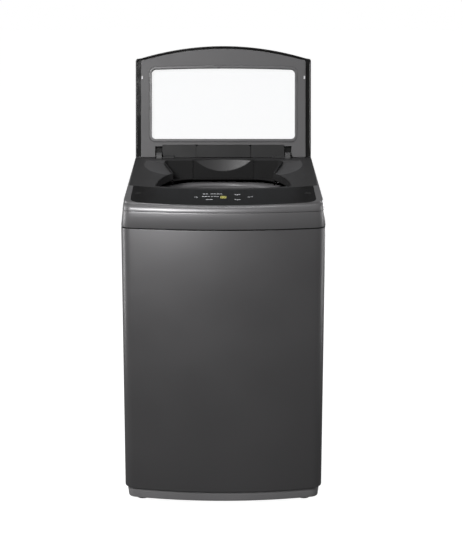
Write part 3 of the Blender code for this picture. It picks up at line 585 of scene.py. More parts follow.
TUB_LOW, TUB_HIGH = 0.240, 0.800
TUB_WALL = 0.232
wall_low = TUB_LOW + 0.020
tub = lathe("tub_shell", [
    (0.046, TUB_LOW), (0.210, TUB_LOW), (0.2215, TUB_LOW + 0.0035), (0.2290, TUB_LOW + 0.0105),
    (TUB_WALL, wall_low), (TUB_WALL, TUB_HIGH), (TUB_WALL - 0.003, TUB_HIGH),
    (TUB_WALL - 0.003, wall_low + 0.002), (0.2262, TUB_LOW + 0.0140), (0.2195, TUB_LOW + 0.0075),
    (0.209, TUB_LOW + 0.005), (0.046, TUB_LOW + 0.005)])
dress(tub, TUB_GREY, "tub", ["outer_tub"])
lug_low, lug_high = 0.300, 0.308
for corner in CORNERS:
    low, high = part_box("suspension_spring_" + corner)
    rod_x, rod_y = (low.x + high.x) / 2, (low.y + high.y) / 2
    reach = math.hypot(rod_x, rod_y)
    lug = slab("tub_lug", (0.2312, -0.022, lug_low), (reach + 0.018, 0.022, lug_high))
    web = slab("lug_web", (0.2312, -0.002, lug_high - 0.001), (reach - 0.024, 0.002, lug_high + 0.040))
    for block in (lug, web):
        block.data.transform(Matrix.Rotation(math.atan2(rod_y, rod_x), 4, "Z"))
    carve(lug, web, operation="UNION")
    carve(lug, drum("lug_bore", (rod_x, rod_y, 0.28), (rod_x, rod_y, 0.36), 0.0045, 24))
    dress(soften(lug, 0.0008, 2), TUB_GREY, "tub")


def ring_tree():
    """Blocks set round a circle, each turned to face its centre."""
    ring = Growth("ring_of_blocks", Count="Int", Radius="Float", Height="Float", Size="Vector", Tilt="Float",
                  Material="Material")
    circle = ring.node("GeometryNodeMeshCircle", None,
                       {"Vertices": ring.given("Count"), "Radius": ring.given("Radius")})
    lift = ring.node("ShaderNodeCombineXYZ", None, {"Z": ring.given("Height")})
    raised = ring.node("GeometryNodeSetPosition", None, {"Geometry": circle, "Offset": lift})
    place = ring.node("GeometryNodeInputIndex")
    turn = ring.node("ShaderNodeCombineXYZ", None,
                     {"Y": ring.given("Tilt"), "Z": place * math.tau / ring.given("Count")})
    block = ring.node("GeometryNodeMeshCube", None, {"Size": ring.given("Size")})
    return ring.close(ring.node("GeometryNodeInstanceOnPoints", None,
                                {"Points": raised, "Instance": block, "Rotation": turn}))


BLOCK_RING = ring_tree()
upright_ribs, hoop_ribs = (28, 0.53, (0.0030, 0.0026, 0.50)), (30, 0.45, (0.0030, 0.0500, 0.0026))
for count, height, size in (upright_ribs, hoop_ribs):
    ribs = BLOCK_RING.grow("tub_ribs", TUB_GREY, Count=count, Radius=TUB_WALL + 0.0010, Height=height,
                           Size=size)
    dress(ribs, TUB_GREY, "tub")
# The top ring's near black is painted shade, for the dark seen through the wash opening.
top_ring = lathe("tub_top_ring", [
    (TUB_WALL, TUB_HIGH + 0.0010), (TUB_WALL, TUB_HIGH + 0.0053), (TUB_WALL - 0.001, TUB_HIGH + 0.0063),
    (0.2095, TUB_HIGH + 0.0063), (0.2086, TUB_HIGH + 0.0055), (0.2098, TUB_HIGH + 0.0003),
    (TUB_WALL - 0.0007, TUB_HIGH + 0.0003)], 128)
dress(top_ring, moulded("tub_cover_painted_shade", 22, 28, 0.6), "tub", ["tub_cover"])

CAST = steel("cast_housing", 150, 0.5, (1, 1, 1), 0.25)
tidy_copy("bearing_housing", 0.0008, CAST, "tub")
enamel = Finish("wound_copper", Metallic=0.9)
strands = enamel.noise(90.0, 1.0, (0.2, 0.2, 30.0))
BURNT_COPPER, BRIGHT_COPPER = (0.30, 0.09, 0.03, 1), (0.62, 0.26, 0.11, 1)
enamel.set(Base_Color=enamel.blend(enamel.ramp(strands, 0.4, 0.6, 0.0, 1.0), BURNT_COPPER, BRIGHT_COPPER),
           Roughness=enamel.ramp(strands, 0.3, 0.7, 0.30, 0.45))
enamel.bump(strands, 0.5, 0.0005)
tidy_copy("motor_stator", 0.0008, enamel.material, "tub")
tidy_copy("motor_rotor", 0.0008, ZINC, "agitator")
magnets = BLOCK_RING.grow("rotor_magnets", SHADOW, Count=24, Radius=0.1143, Height=0.188,
                          Size=(0.0012, 0.024, 0.036))
dress(magnets, SHADOW, "agitator")
shaft_low, shaft_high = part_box("drive_shaft")
shaft = lathe("shaft", [
    (0.0, shaft_low.z), (0.0092, shaft_low.z), (0.0100, shaft_low.z + 0.0008),
    (0.0100, shaft_high.z - 0.0008), (0.0092, shaft_high.z), (0.0, shaft_high.z)], 48, False)
dress(shaft, ZINC, "agitator", ["drive_shaft"])


# ---- Basket -------------------------------------------------------------------------------
# Stainless steel sheet, rolled and pierced with rows of holes, riveted to a cast hub below. The
# sheet's rule is a grid of cells, each with a hole left in it, rolled into a cylinder.
BASKET_WALL = 0.211
BASKET_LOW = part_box("basket")[0].z
RING_LOW, RING_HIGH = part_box("balance_ring")[0].z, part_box("balance_ring")[1].z
STAINLESS = steel("stainless_sheet", 176, 0.26, (0.15, 0.15, 4.0), 0.06)


def pierced_tree():
    """A grid rolled round the Z axis, with a round hole left in every cell and a thickness given last."""
    sheet = Growth("pierced_sheet", Radius="Float", Low="Float", High="Float", Around="Int", Up="Int",
                   Hole="Float", Thickness="Float", Material="Material")
    low, high = sheet.given("Low"), sheet.given("High")
    grid = sheet.node("GeometryNodeMeshGrid", None,
                      {"Size X": math.tau, "Size Y": 1.0, "Vertices X": sheet.given("Around"),
                       "Vertices Y": sheet.given("Up")})
    inset = sheet.tree.nodes.new("GeometryNodeExtrudeMesh")
    inset.mode = "FACES"
    sheet.feed(inset.inputs["Mesh"], grid)
    inset.inputs["Offset Scale"].default_value = 0.0
    inset.inputs["Individual"].default_value = True
    top = Signal(sheet.tree, inset.outputs["Top"])
    shrunk = sheet.node("GeometryNodeScaleElements", {"domain": "FACE"},
                        {"Geometry": Signal(sheet.tree, inset.outputs["Mesh"]), "Selection": top,
                         "Scale": sheet.given("Hole")})
    pierced = sheet.node("GeometryNodeDeleteGeometry", {"domain": "FACE"},
                         {"Geometry": shrunk, "Selection": top})
    fine = sheet.node("GeometryNodeSubdivisionSurface", None, {"Mesh": pierced, "Level": 1})
    spot = sheet.node("GeometryNodeInputPosition")
    parts = sheet.tree.nodes.new("ShaderNodeSeparateXYZ")
    sheet.feed(parts.inputs[0], spot)
    turn, rise = Signal(sheet.tree, parts.outputs[0]), Signal(sheet.tree, parts.outputs[1])
    radius = sheet.given("Radius")
    rolled = sheet.node("ShaderNodeCombineXYZ", None, {
        "X": sheet.node("ShaderNodeMath", {"operation": "COSINE"}, {0: turn}) * radius,
        "Y": sheet.node("ShaderNodeMath", {"operation": "SINE"}, {0: turn}) * radius,
        "Z": (rise + 0.5) * (high - low) + low})
    wall = sheet.node("GeometryNodeSetPosition", None, {"Geometry": fine, "Position": rolled})
    joined = sheet.node("GeometryNodeMergeByDistance", None, {"Geometry": wall, "Distance": 0.00005})
    face = sheet.node("GeometryNodeInputNormal")
    offset = sheet.node("ShaderNodeVectorMath", {"operation": "SCALE"},
                        {0: face, "Scale": sheet.given("Thickness")})
    thick = sheet.node("GeometryNodeExtrudeMesh", {"mode": "FACES"},
                       {"Mesh": joined, "Offset": offset, "Individual": False})
    back = sheet.node("GeometryNodeFlipFaces", None, {"Mesh": joined})
    both = sheet.tree.nodes.new("GeometryNodeJoinGeometry")
    for side in (back, thick):
        sheet.tree.links.new(side.socket, both.inputs[0])
    closed = sheet.node("GeometryNodeMergeByDistance", None,
                        {"Geometry": Signal(sheet.tree, both.outputs[0]), "Distance": 0.00002})
    return sheet.close(closed)


PIERCED = pierced_tree()
pierced_low, pierced_high = BASKET_LOW + 0.030, RING_LOW - 0.012
wall = PIERCED.grow("pierced_wall", STAINLESS, Radius=BASKET_WALL - 0.0004, Low=pierced_low,
                    High=pierced_high, Around=73, Up=25, Hole=0.34, Thickness=-0.0008)
dress(wall, STAINLESS, "basket", ["basket"])
foot = lathe("basket_foot", [
    (BASKET_WALL, pierced_low), (BASKET_WALL, BASKET_LOW + 0.012), (0.2094, BASKET_LOW + 0.0060),
    (0.2050, BASKET_LOW + 0.0016), (0.199, BASKET_LOW), (0.150, BASKET_LOW), (0.146, BASKET_LOW + 0.0030),
    (0.022, BASKET_LOW + 0.0030), (0.022, BASKET_LOW + 0.0038), (0.1456, BASKET_LOW + 0.0038),
    (0.1502, BASKET_LOW + 0.0008), (0.1987, BASKET_LOW + 0.0008), (0.2045, BASKET_LOW + 0.0023),
    (0.2087, BASKET_LOW + 0.0064), (0.2102, BASKET_LOW + 0.0121), (0.2102, pierced_low)], 144)
collar_band = lathe("basket_collar", [
    (BASKET_WALL, RING_LOW - 0.0003), (BASKET_WALL, pierced_high), (0.2102, pierced_high),
    (0.2102, RING_LOW - 0.0003)], 144)
for plain in (foot, collar_band):
    dress(plain, STAINLESS, "basket")
tidy_copy("basket_hub", 0.0010, CAST, "basket", 25)


# ---- Balance ring and lint filters --------------------------------------------------------
# A hollow plastic ring, welded shut round salt water, snapped on the basket's rim. Two blue mesh
# filters clip to the wall and catch lint from the water that the pulsator throws up.
RING_GREY = moulded("ring_grey", 104, 116, 0.36, 500.0, 0.10)
ring = lathe("balance_ring_skin", [
    (0.2030, RING_HIGH), (0.2046, RING_HIGH - 0.0012), (0.2052, RING_HIGH - 0.0040),
    (0.2085, RING_HIGH - 0.030), (BASKET_WALL, RING_LOW + 0.0045), (BASKET_WALL, RING_LOW + 0.0008),
    (0.2100, RING_LOW), (0.1760, RING_LOW),
    (0.1690, RING_LOW + 0.0020), (0.1620, RING_LOW + 0.0062), (0.1582, RING_LOW + 0.0105),
    (0.1562, RING_LOW + 0.0200), (0.1552, RING_HIGH - 0.0125), (0.1551, RING_HIGH - 0.0108),
    (0.1566, RING_HIGH - 0.0098), (0.1566, RING_HIGH - 0.0084), (0.1552, RING_HIGH - 0.0074),
    (0.1555, RING_HIGH - 0.0048), (0.1566, RING_HIGH - 0.0022), (0.1586, RING_HIGH - 0.0006),
    (0.1606, RING_HIGH)], 192)
dress(ring, RING_GREY, "basket", ["balance_ring"])
ring_ribs = BLOCK_RING.grow("balance_ring_ribs", RING_GREY, Count=60, Radius=0.1600, Height=RING_LOW + 0.0128,
                            Size=(0.0050, 0.0022, 0.0130), Tilt=-0.25)
dress(ring_ribs, RING_GREY, "basket")

FILTER_BLUE = moulded("filter_blue", 78, 92, 0.42, 300.0, 0.15)
for side in ("left", "right"):
    tidy_copy("lint_filter_" + side, 0.0010, FILTER_BLUE, "basket")


# ---- Pulsator -----------------------------------------------------------------------------
# A wash plate with swept vanes turns in the basket's floor. A screw under its cap holds it to
# the drive shaft.
PLATE_LOW, PLATE_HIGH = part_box("pulsator")[0].z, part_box("pulsator")[1].z
PLATE_GREY = moulded("pulsator_grey", 150, 164, 0.38, 400.0, 0.10)
plate = lathe("pulsator_plate", [
    (0.0, PLATE_LOW + 0.040), (0.0155, PLATE_LOW + 0.040), (0.0155, PLATE_LOW + 0.0508),
    (0.0172, PLATE_LOW + 0.0518), (0.0240, PLATE_LOW + 0.0508), (0.0290, PLATE_LOW + 0.0470),
    (0.0345, PLATE_LOW + 0.0380),
    (0.0420, PLATE_LOW + 0.0290), (0.0560, PLATE_LOW + 0.0225), (0.0780, PLATE_LOW + 0.0172),
    (0.1000, PLATE_LOW + 0.0142), (0.1300, PLATE_LOW + 0.0120), (0.1580, PLATE_LOW + 0.0104),
    (0.1635, PLATE_LOW + 0.0084), (0.1660, PLATE_LOW + 0.0045), (0.1635, PLATE_LOW + 0.0010),
    (0.1600, PLATE_LOW), (0.0105, PLATE_LOW), (0.0105, PLATE_LOW + 0.030), (0.0, PLATE_LOW + 0.030)],
    144, False)
dress(plate, PLATE_GREY, "agitator", ["pulsator"])


def vane(name, turn, length, height, sweep):
    """A rounded ridge from the middle to the rim, bent along its length."""
    rings = []
    for i in range(17):
        t = i / 16
        reach = 0.022 + length * t
        crest = height * math.sin(math.pi * min(t * 0.9 + 0.14, 1.0)) ** 0.5
        foot = PLATE_LOW + 0.006
        width = 0.0125 * (0.55 + 0.45 * math.sin(math.pi * min(t + 0.1, 1.0)))
        heading = turn + sweep * t * t
        across = Vector((-math.sin(heading), math.cos(heading), 0))
        centre = Vector((reach * math.cos(heading), reach * math.sin(heading), foot))
        rings.append([centre + across * width * math.cos(a) + Vector((0, 0, max(crest * math.sin(a), 0.0)))
                      for a in (math.pi * j / 10 for j in range(11))])
    made = skin(name, rings, caps=True)
    return dress(made, PLATE_GREY, "agitator")


for i in range(4):
    vane("pulsator_vane_%d" % (i + 1), i * math.pi / 2 + 0.3, 0.132, 0.024, 0.35)
    vane("pulsator_ridge_%d" % (i + 1), i * math.pi / 2 + 1.08, 0.126, 0.0125, 0.30)
cap = lathe("pulsator_cap_dome", [
    (0.0, PLATE_HIGH + 0.0040), (0.0060, PLATE_HIGH + 0.0037), (0.0110, PLATE_HIGH + 0.0024),
    (0.0142, PLATE_HIGH + 0.0004), (0.0150, PLATE_HIGH - 0.0018), (0.0150, PLATE_HIGH - 0.0115),
    (0.0, PLATE_HIGH - 0.0115)], 72, False)
dress(cap, RING_GREY, "agitator", ["pulsator_cap"])


# ---- Drain pump and rear fittings ---------------------------------------------------------
# The pump stands on the plinth and lifts water through a rubber hose to the drain outlet in the
# back panel. A rubber gland beside the top closes the hole for the mains lead.
PUMP_GREY = moulded("pump_grey", 60, 72, 0.5, 500.0, 0.15)
tidy_copy("drain_pump", 0.0015, PUMP_GREY, angle=25)
volute_at = (0.140, 0.172)
volute = lathe("pump_volute", [
    (0.0, 0.1115), (0.0140, 0.1115), (0.0180, 0.1100), (0.0215, 0.1070), (0.0220, 0.1040), (0.0, 0.1040)],
    64, False, volute_at)
dress(volute, PUMP_GREY)
hose_low, hose_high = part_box("drain_hose")
HOSE_Y, HOSE_BEND = 0.190, 0.030
bend_y, bend_z = HOSE_Y + HOSE_BEND, drain_z - HOSE_BEND
route = [Vector((drain_x, HOSE_Y, hose_low.z + (bend_z - hose_low.z) * t)) for t in (0.0, 0.5)]
route += [Vector((drain_x, y, z)) for y, z in arc((bend_y, bend_z), HOSE_BEND, 180, 90, 14)]
route += [Vector((drain_x, hose_high.y, drain_z))]


def tube(name, points, radius, sides=20):
    """A solid hose along a flat path in the YZ plane."""
    rings = []
    for i, point in enumerate(points):
        ahead = (points[min(i + 1, len(points) - 1)] - points[max(i - 1, 0)]).normalized()
        beside = Vector((1, 0, 0))
        above = ahead.cross(beside)
        rings.append([point + (beside * math.cos(a) + above * math.sin(a)) * radius
                      for a in (math.tau * j / sides for j in range(sides))])
    return skin(name, rings, caps=True)


dress(tube("drain_hose_tube", route, 0.0120, 32), BLACK_RUBBER, stands_for=["drain_hose"])
pump_end = Matrix.Translation((drain_x, HOSE_Y, hose_low.z + 0.005))
outlet_end = Matrix.Translation((drain_x, hose_high.y - 0.006, drain_z)) @ Matrix.Rotation(math.pi / 2, 4, "X")
for place in (pump_end, outlet_end):
    clip = lathe("hose_clip", [(0.0121, -0.0030), (0.0128, -0.0030), (0.0128, 0.0030), (0.0121, 0.0030)], 48)
    clip.data.transform(place)
    dress(clip, ZINC)


def facing_back(x, z):
    """Turns what was made upright to face back, on the axis through this x and z."""
    return Matrix.Translation((x, 0, z)) @ Matrix.Rotation(-math.pi / 2, 4, "X")


def spout(name, x, z, start, end, outer, inner, floor_at, material, node):
    """A round fitting that faces back, with a rounded rim and a bore."""
    profile = [(0.0, start), (outer, start), (outer, end - 0.0060), (outer, end - 0.0008),
               (outer - 0.0008, end), (inner + 0.0006, end), (inner, end - 0.0006), (inner, floor_at),
               (0.0, floor_at)]
    made = lathe(name, profile, 64, False)
    made.data.transform(facing_back(x, z))
    return dress(made, material, stands_for=[node])


spout("drain_spout", drain_x, drain_z, drain_low.y, drain_high.y, 0.0160, 0.0120, 0.254, PUMP_GREY,
      "drain_outlet")
spout("lead_gland", gland_x, gland_z, gland_low.y, gland_high.y, 0.0080, 0.0040, gland_low.y + 0.001,
      BLACK_RUBBER, "cord_gland")
FLANGE_IN, FLANGE_OUT = 0.2812, 0.28295
for x, z, inner, outer in ((drain_x, drain_z, 0.0202, 0.0232), (gland_x, gland_z, 0.0087, 0.0108)):
    flange = lathe("rear_flange", [(inner, FLANGE_IN), (outer, FLANGE_IN), (outer, FLANGE_OUT),
                                   (inner, FLANGE_OUT)], 64)
    flange.data.transform(facing_back(x, z))
    dress(flange, PUMP_GREY)


# ---- Top cover ----------------------------------------------------------------------------
# One large moulding: sides that lean in, a rounded front shoulder, and a deck that slopes down to
# the front. Two shallow dishes, the wash opening and seats for the panel, lid and hood are moulded in.
# The front trim is sprayed a lighter grey than the deck. The two dishes are painted lighter than the
# deck around them: a painted highlight.
DECK_AT, DECK_SLOPE = 0.8643, 0.145          # the deck's height at the middle, and its rise to the back
DECK_TURN = math.atan(DECK_SLOPE)
HINGE_Y = (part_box("hinge_pin_left")[0].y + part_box("hinge_pin_left")[1].y) / 2
HINGE_Z = (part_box("hinge_pin_left")[0].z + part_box("hinge_pin_left")[1].z) / 2
HOOD_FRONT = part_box("rear_cover")[0].y
SHOULDER = 0.018
ON_DECK = Matrix.Translation((0, 0, DECK_AT)) @ Matrix.Rotation(DECK_TURN, 4, "X")


def prism(name, outline, low, high, place=Matrix.Identity(4)):
    made = skin(name, [level(outline, low), level(outline, high)], caps=True)
    made.data.transform(place)
    return made


def above_deck(name, drop=0.0):
    made = slab(name, (-0.4, -0.5, -drop), (0.4, 0.5, 0.3))
    made.data.transform(ON_DECK)
    return made


def cover_block(name, side, front, back, low, shrink=0.0):
    rings = [level(plan(LEAN * (low - SHEET_HIGH) + side, front, back), low - shrink)]
    for step in range(1, 13):
        turn = math.radians(90 * step / 12)
        z, fall = BAND_HIGH + SHOULDER * math.sin(turn), SHOULDER * (1 - math.cos(turn))
        rings.append(level(plan(LEAN * (z - SHEET_HIGH) + side, fall + front, back), z - shrink))
    rings.append(level(plan(LEAN * (0.935 - SHEET_HIGH) + side, 0.030 + front, back), 0.935 - shrink))
    return skin(name, rings, caps=True)


def dish(name, side, grow=0.0):
    """The hollow at a rear corner of the deck: part of a large ball, ending short of the hinge."""
    ball, rim = 0.70, 0.130
    floor = math.sqrt(ball ** 2 - rim ** 2)
    reach = rim + 0.012 + grow
    profile = [(0.0, 0.030), (reach, 0.030)]
    profile += [(reach * (1 - i / 14), floor - math.sqrt(ball ** 2 - (reach * (1 - i / 14)) ** 2) - grow)
                for i in range(15)]
    made = lathe(name, profile, 96, False)
    made.data.transform(Matrix.Translation((side * 0.10, 0.13, DECK_AT + DECK_SLOPE * 0.13))
                        @ Matrix.Rotation(DECK_TURN, 4, "X"))
    x0, x1 = sorted((side * (0.125 - grow), side * -0.3))
    return carve(made, slab("inner_limit", (x0, -0.1, 0.7), (x1, 0.4, 1.0)),
                 slab("rear_limit", (-0.4, 0.1655 + grow, 0.7), (0.4, 0.4, 1.0)))


def opening(inset=0.0):
    """The wash opening: a circle, cut by the control panel in front, with a pocket for the drawer behind."""
    radius, front, centre_y = 0.186 - inset, -0.114 + inset, -0.083
    span = math.degrees(math.asin((front + 0.020 - centre_y) / radius))
    pocket = math.degrees(math.atan2(0.036 - centre_y, 0.143))
    right = arc((0, centre_y), radius, span, pocket, 32)
    right += arc((0.172 - inset - 0.012, 0.165 - inset - 0.012), 0.012, 10, 90, 8)
    start = right[0][0]
    run = [(start * i / 24, front + 0.020 * (i / 24) ** 2) for i in range(-23, 24)]
    return run + right + [(-x, y) for x, y in reversed(right)]


def panel_edge(grow=0.0):
    """The control panel: bowed front, rounded front corners, and a rear edge that follows the lid."""
    half, radius, face = 0.245 + grow, 0.034, -0.2625 - grow
    middle = half - radius
    run = [(middle * (i / 12 - 1), face + BOW * (middle * (i / 12 - 1)) ** 2) for i in range(25)]
    right = arc((middle, face + BOW * middle ** 2 + radius * 1.03), radius, -75, 0, 12)
    rear = [(half * (1 - i / 20), -0.124 + grow + 0.037 * (1 - i / 20) ** 2) for i in range(41)]
    outline = run + right + rear + [(-x, y) for x, y in reversed(right)]
    return [(x, y / math.cos(DECK_TURN)) for x, y in outline]


cover = cover_block("top_cover_skin", 0.0, 0.0, 0.0, BAND_HIGH + 0.0006)
carve(cover, above_deck("sky"))
soften(cover, 0.0030, 4, 30)
hollow = cover_block("cover_hollow", 0.0035, 0.004, 0.0035, BAND_HIGH - 0.01)
carve(hollow, above_deck("deck_wall", 0.0065), dish("dish_wall_left", -1, 0.004),
      dish("dish_wall_right", 1, 0.004),
      slab("trough_wall", (-0.28, HINGE_Y - 0.004, 0.8780), (0.28, 0.300, 0.96)),
      slab("shelf_wall", (-0.28, HOOD_FRONT - 0.001, 0.8860), (0.28, 0.300, 0.96)))
carve(cover, dish("dish_left", -1), dish("dish_right", 1), hollow, prism("wash_opening", opening(), 0.75, 1.0),
      prism("panel_seat", panel_edge(0.0003), -0.0034, 0.05, ON_DECK),
      slab("lid_trough", (-0.2585, HINGE_Y - 0.0005, 0.8840), (0.2585, HOOD_FRONT - 0.0006, 0.96)),
      slab("hood_seat", (-0.28, HOOD_FRONT - 0.001, 0.8925), (0.28, 0.300, 0.96)),
      slab("drawer_notch", (-0.0888, 0.15, 0.85), (0.0888, 0.1808, 0.96)))
for side in (-1, 1):
    arm_near, arm_far = sorted((side * 0.1785, side * 0.1965))
    lug_start, lug_end = (side * 0.1425, HINGE_Y, HINGE_Z), (side * 0.1800, HINGE_Y, HINGE_Z)
    carve(cover, slab("arm_slot", (arm_near, HINGE_Y - 0.0172, 0.83), (arm_far, HINGE_Y + 0.0200, 0.96)),
          drum("lug_recess", lug_start, lug_end, 0.0073, 48))
for name in ("cold", "hot"):
    low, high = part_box("inlet_valve_" + name)
    x, z = (low.x + high.x) / 2, (low.z + high.z) / 2
    carve(cover, drum("inlet_hole", (x, 0.25, z), (x, 0.30, z), 0.0165, 48))
soften(cover, 0.0006, 2, 34)
paint = Finish("cover_paint", Coat_Roughness=0.22, Specular_IOR_Level=0.35)
DECK_EDGE_X, DECK_EDGE_Y, DECK_EDGE_BOW = 0.2568, -0.1245, 0.62     # where the trim's spray stops
rise = paint.axis("Z") - paint.axis("Y") * DECK_SLOPE
across = paint.node("ShaderNodeMath", {"operation": "ABSOLUTE"}, {0: paint.axis("X")})
behind = paint.axis("Y") + across * across * -DECK_EDGE_BOW > DECK_EDGE_Y
inside = (across < DECK_EDGE_X) * (rise > DECK_AT - 0.02) * behind
# The dishes are painted a lighter grey than the flat deck: a painted highlight, for the light their slopes
# catch.
lit_dish_mask = (rise < DECK_AT - 0.0004) * (paint.axis("Y") > 0.02)
fleck = paint.ramp(paint.noise(2400.0, 1.0), 0.35, 0.65, 0.0, 1.0)
trim_tone = paint.blend(fleck, grey(126), grey(136))
deck_tone = paint.blend(lit_dish_mask, paint.blend(fleck, grey(46), grey(51)), grey(73))
paint.set(Base_Color=paint.blend(inside, trim_tone, deck_tone), Metallic=0.60 - inside * 0.55,
          Roughness=paint.ramp(paint.noise(9.0), 0.3, 0.7, 0.40, 0.45) + inside * 0.10,
          Coat_Weight=0.16 - inside * 0.14)
paint.bump(paint.noise(900.0, 2.0), 0.05, 0.0002)
dress(cover, paint.material, stands_for=["top_cover"])


# ---- Splash collar ------------------------------------------------------------------------
# A dark moulding that lines the wash opening and clips in from below. Its floor flange leaves a
# round throat over the basket, and its back wall a window for the drawer.
COLLAR_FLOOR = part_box("tub_collar")[0].z
COLLAR_DARK = moulded("collar_dark", 30, 36, 0.46, 600.0, 0.12, Specular_IOR_Level=0.3)
lining = prism("splash_collar", opening(0.0003), COLLAR_FLOOR, 0.95)
throat = drum("throat", (0, 0.010, 0.8), (0, 0.010, COLLAR_FLOOR + 0.003), 0.1800, 192)
carve(throat, prism("throat_limit", opening(0.0026), 0.7, 0.9), operation="INTERSECT")
carve(lining, above_deck("collar_top", 0.0002),
      prism("lining_inside", opening(0.0025), COLLAR_FLOOR + 0.0025, 1.0), throat,
      slab("drawer_window", (-0.0888, 0.15, COLLAR_FLOOR + 0.0025), (0.0888, 0.20, 0.96)))
SIDE_WALL = 0.0193                 # the collar's walls beside the panel go down this far
below = slab("below_side_wall", (-0.3, -0.2, -0.1), (0.3, 0.0345, -SIDE_WALL))
below.data.transform(ON_DECK)
carve(lining, below)
soften(lining, 0.0006, 2, 34)
dress(lining, COLLAR_DARK, stands_for=["tub_collar"])


# ---- Detergent drawer ---------------------------------------------------------------------
# The drawer slides forward out of its housing under the lid's hinge. A dished front takes the
# fingers, and a blue lid covers the softener well.
DRAWER_DARK = moulded("drawer_dark", 30, 36, 0.46, 600.0, 0.12, Specular_IOR_Level=0.3)
drawer_low, drawer_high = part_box("detergent_drawer")
grip_paint = Finish("drawer_grip", Specular_IOR_Level=0.35)
grain = grip_paint.noise(600.0, 2.0)
# The finger dish is painted lighter than the drawer's face and top: a painted highlight, for the light its
# up-facing hollow catches.
lit_dish_mask = grip_paint.axis("Y") > drawer_low.y + 0.0004
top_face = grip_paint.axis("Z") - grip_paint.axis("Y") * DECK_SLOPE > DECK_AT - 0.0010
grip_paint.set(Base_Color=grip_paint.blend(lit_dish_mask * (1.0 - top_face), grey(32), grey(56)),
               Roughness=grip_paint.ramp(grain, 0.3, 0.7, 0.38, 0.48))
grip_paint.bump(grain, 0.08, 0.0002)
tidy_copy("drawer_housing", 0.0006, COLLAR_DARK)
front = slab("drawer_front", drawer_low, (drawer_high.x, drawer_low.y + 0.0142, 0.93))
GRIP_BALL, GRIP_RIM, GRIP_Z = 0.35, 0.1222, 0.9777      # the finger dish is part of a large ball
grip_floor, grip_reach = math.sqrt(GRIP_BALL ** 2 - GRIP_RIM ** 2), GRIP_RIM + 0.02
grip_profile = [(0.0, 0.03), (grip_reach, 0.03)]
for i in range(19):
    radius = grip_reach * (1 - i / 18)
    grip_profile.append((radius, grip_floor - math.sqrt(GRIP_BALL ** 2 - radius ** 2)))
grip = lathe("grip", grip_profile, 192, False)
grip.data.transform(Matrix.Translation((0, drawer_low.y, GRIP_Z)) @ Matrix.Rotation(math.pi / 2, 4, "X"))
carve(front, above_deck("drawer_top", 0.0006), grip)
soften(front, 0.0008, 3, 30)
TRAY_HALF, TRAY_WALL, TRAY_BACK = 0.0860, 0.0020, 0.2600
well_half, well_back = TRAY_HALF - TRAY_WALL, TRAY_BACK - TRAY_WALL
WELL_FRONT, WELL_FLOOR = 0.1840, 0.8384
tray = slab("drawer_tray", (-TRAY_HALF, drawer_low.y + 0.0135, drawer_low.z), (TRAY_HALF, TRAY_BACK, 0.8725))
carve(tray, slab("powder_well", (-well_half, WELL_FRONT, WELL_FLOOR), (0.0275, well_back, 0.89)),
      slab("softener_well", (0.0292, WELL_FRONT, WELL_FLOOR), (well_half, well_back, 0.89)))
soften(tray, 0.0008, 2, 30)
dress(front, grip_paint.material, "drawer", ["detergent_drawer"])
dress(tray, DRAWER_DARK, "drawer")
cap_low, cap_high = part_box("softener_cap")
cap_x = (cap_low.x + cap_high.x) / 2
lid_plate = slab("softener_lid", cap_low, cap_high)
for y in (0.198, 0.244):
    carve(lid_plate, drum("fill_hole", (cap_x, y, 0.85), (cap_x, y, 0.88), 0.0055, 32))
soften(lid_plate, 0.0004, 2, 30)
dress(lid_plate, FILTER_BLUE, "drawer", ["softener_cap"])


# ---- Control panel ------------------------------------------------------------------------
# A gloss black touch panel set flush in the deck, with printed key marks and a lit display behind
# it. Plugs hide its two screws, and its circuit board hangs below.
gloss = Finish("panel_gloss", Specular_IOR_Level=0.07)
smear = gloss.noise(30.0, 4.0)
gloss.set(Base_Color=gloss.blend(gloss.ramp(smear, 0.4, 0.8, 0.0, 1.0), grey(25), grey(27)),
          Roughness=gloss.ramp(smear, 0.35, 0.75, 0.28, 0.30))
GLOSS_BLACK = gloss.material
panel = prism("touch_panel", panel_edge(), -0.0030, 0.0, ON_DECK)
PLUG_X, PLUG_Y = 0.2265, -0.155 / math.cos(DECK_TURN)
seats = []
for side in (-1, 1):
    seat = drum("plug_seat", (side * PLUG_X, PLUG_Y, -0.0022), (side * PLUG_X, PLUG_Y, 0.01), 0.0095, 48)
    seat.data.transform(ON_DECK)
    seats.append(seat)
carve(panel, *seats)
soften(panel, 0.0005, 3, 30)
dress(panel, GLOSS_BLACK, stands_for=["control_panel"])
for side, name in ((-1, "left"), (1, "right")):
    profile = [(0.0, 0.0008), (0.0060, 0.00075), (0.0084, 0.0004), (0.0091, -0.0002), (0.0092, -0.0018),
               (0.0, -0.0018)]
    plug = lathe("screw_plug_" + name, profile, 48, False, (side * PLUG_X, PLUG_Y))
    plug.data.transform(ON_DECK)
    dress(plug, SHADOW, stands_for=["panel_screw_plug_" + name])


def glow(name, colour, strength, base):
    made = Finish(name, Emission_Strength=strength)
    soft = made.noise(700.0, 1.0)
    made.set(Base_Color=base, Emission_Color=made.blend(made.ramp(soft, 0.2, 0.8, 0.0, 0.35), colour, base),
             Roughness=made.ramp(soft, 0.3, 0.7, 0.35, 0.45))
    return made.material


# The printed key marks are given a faint glow: painted light on the print, which is no lamp.
PRINT_WITH_GLOW = glow("key_print_painted_glow", (0.75, 0.77, 0.80, 1), 0.12, (0.55, 0.56, 0.58, 1))
LIT = glow("display_light", (0.80, 0.76, 0.16, 1), 0.75, (0.50, 0.47, 0.14, 1))
INK = 0.00008                      # the prints stand this proud of the panel


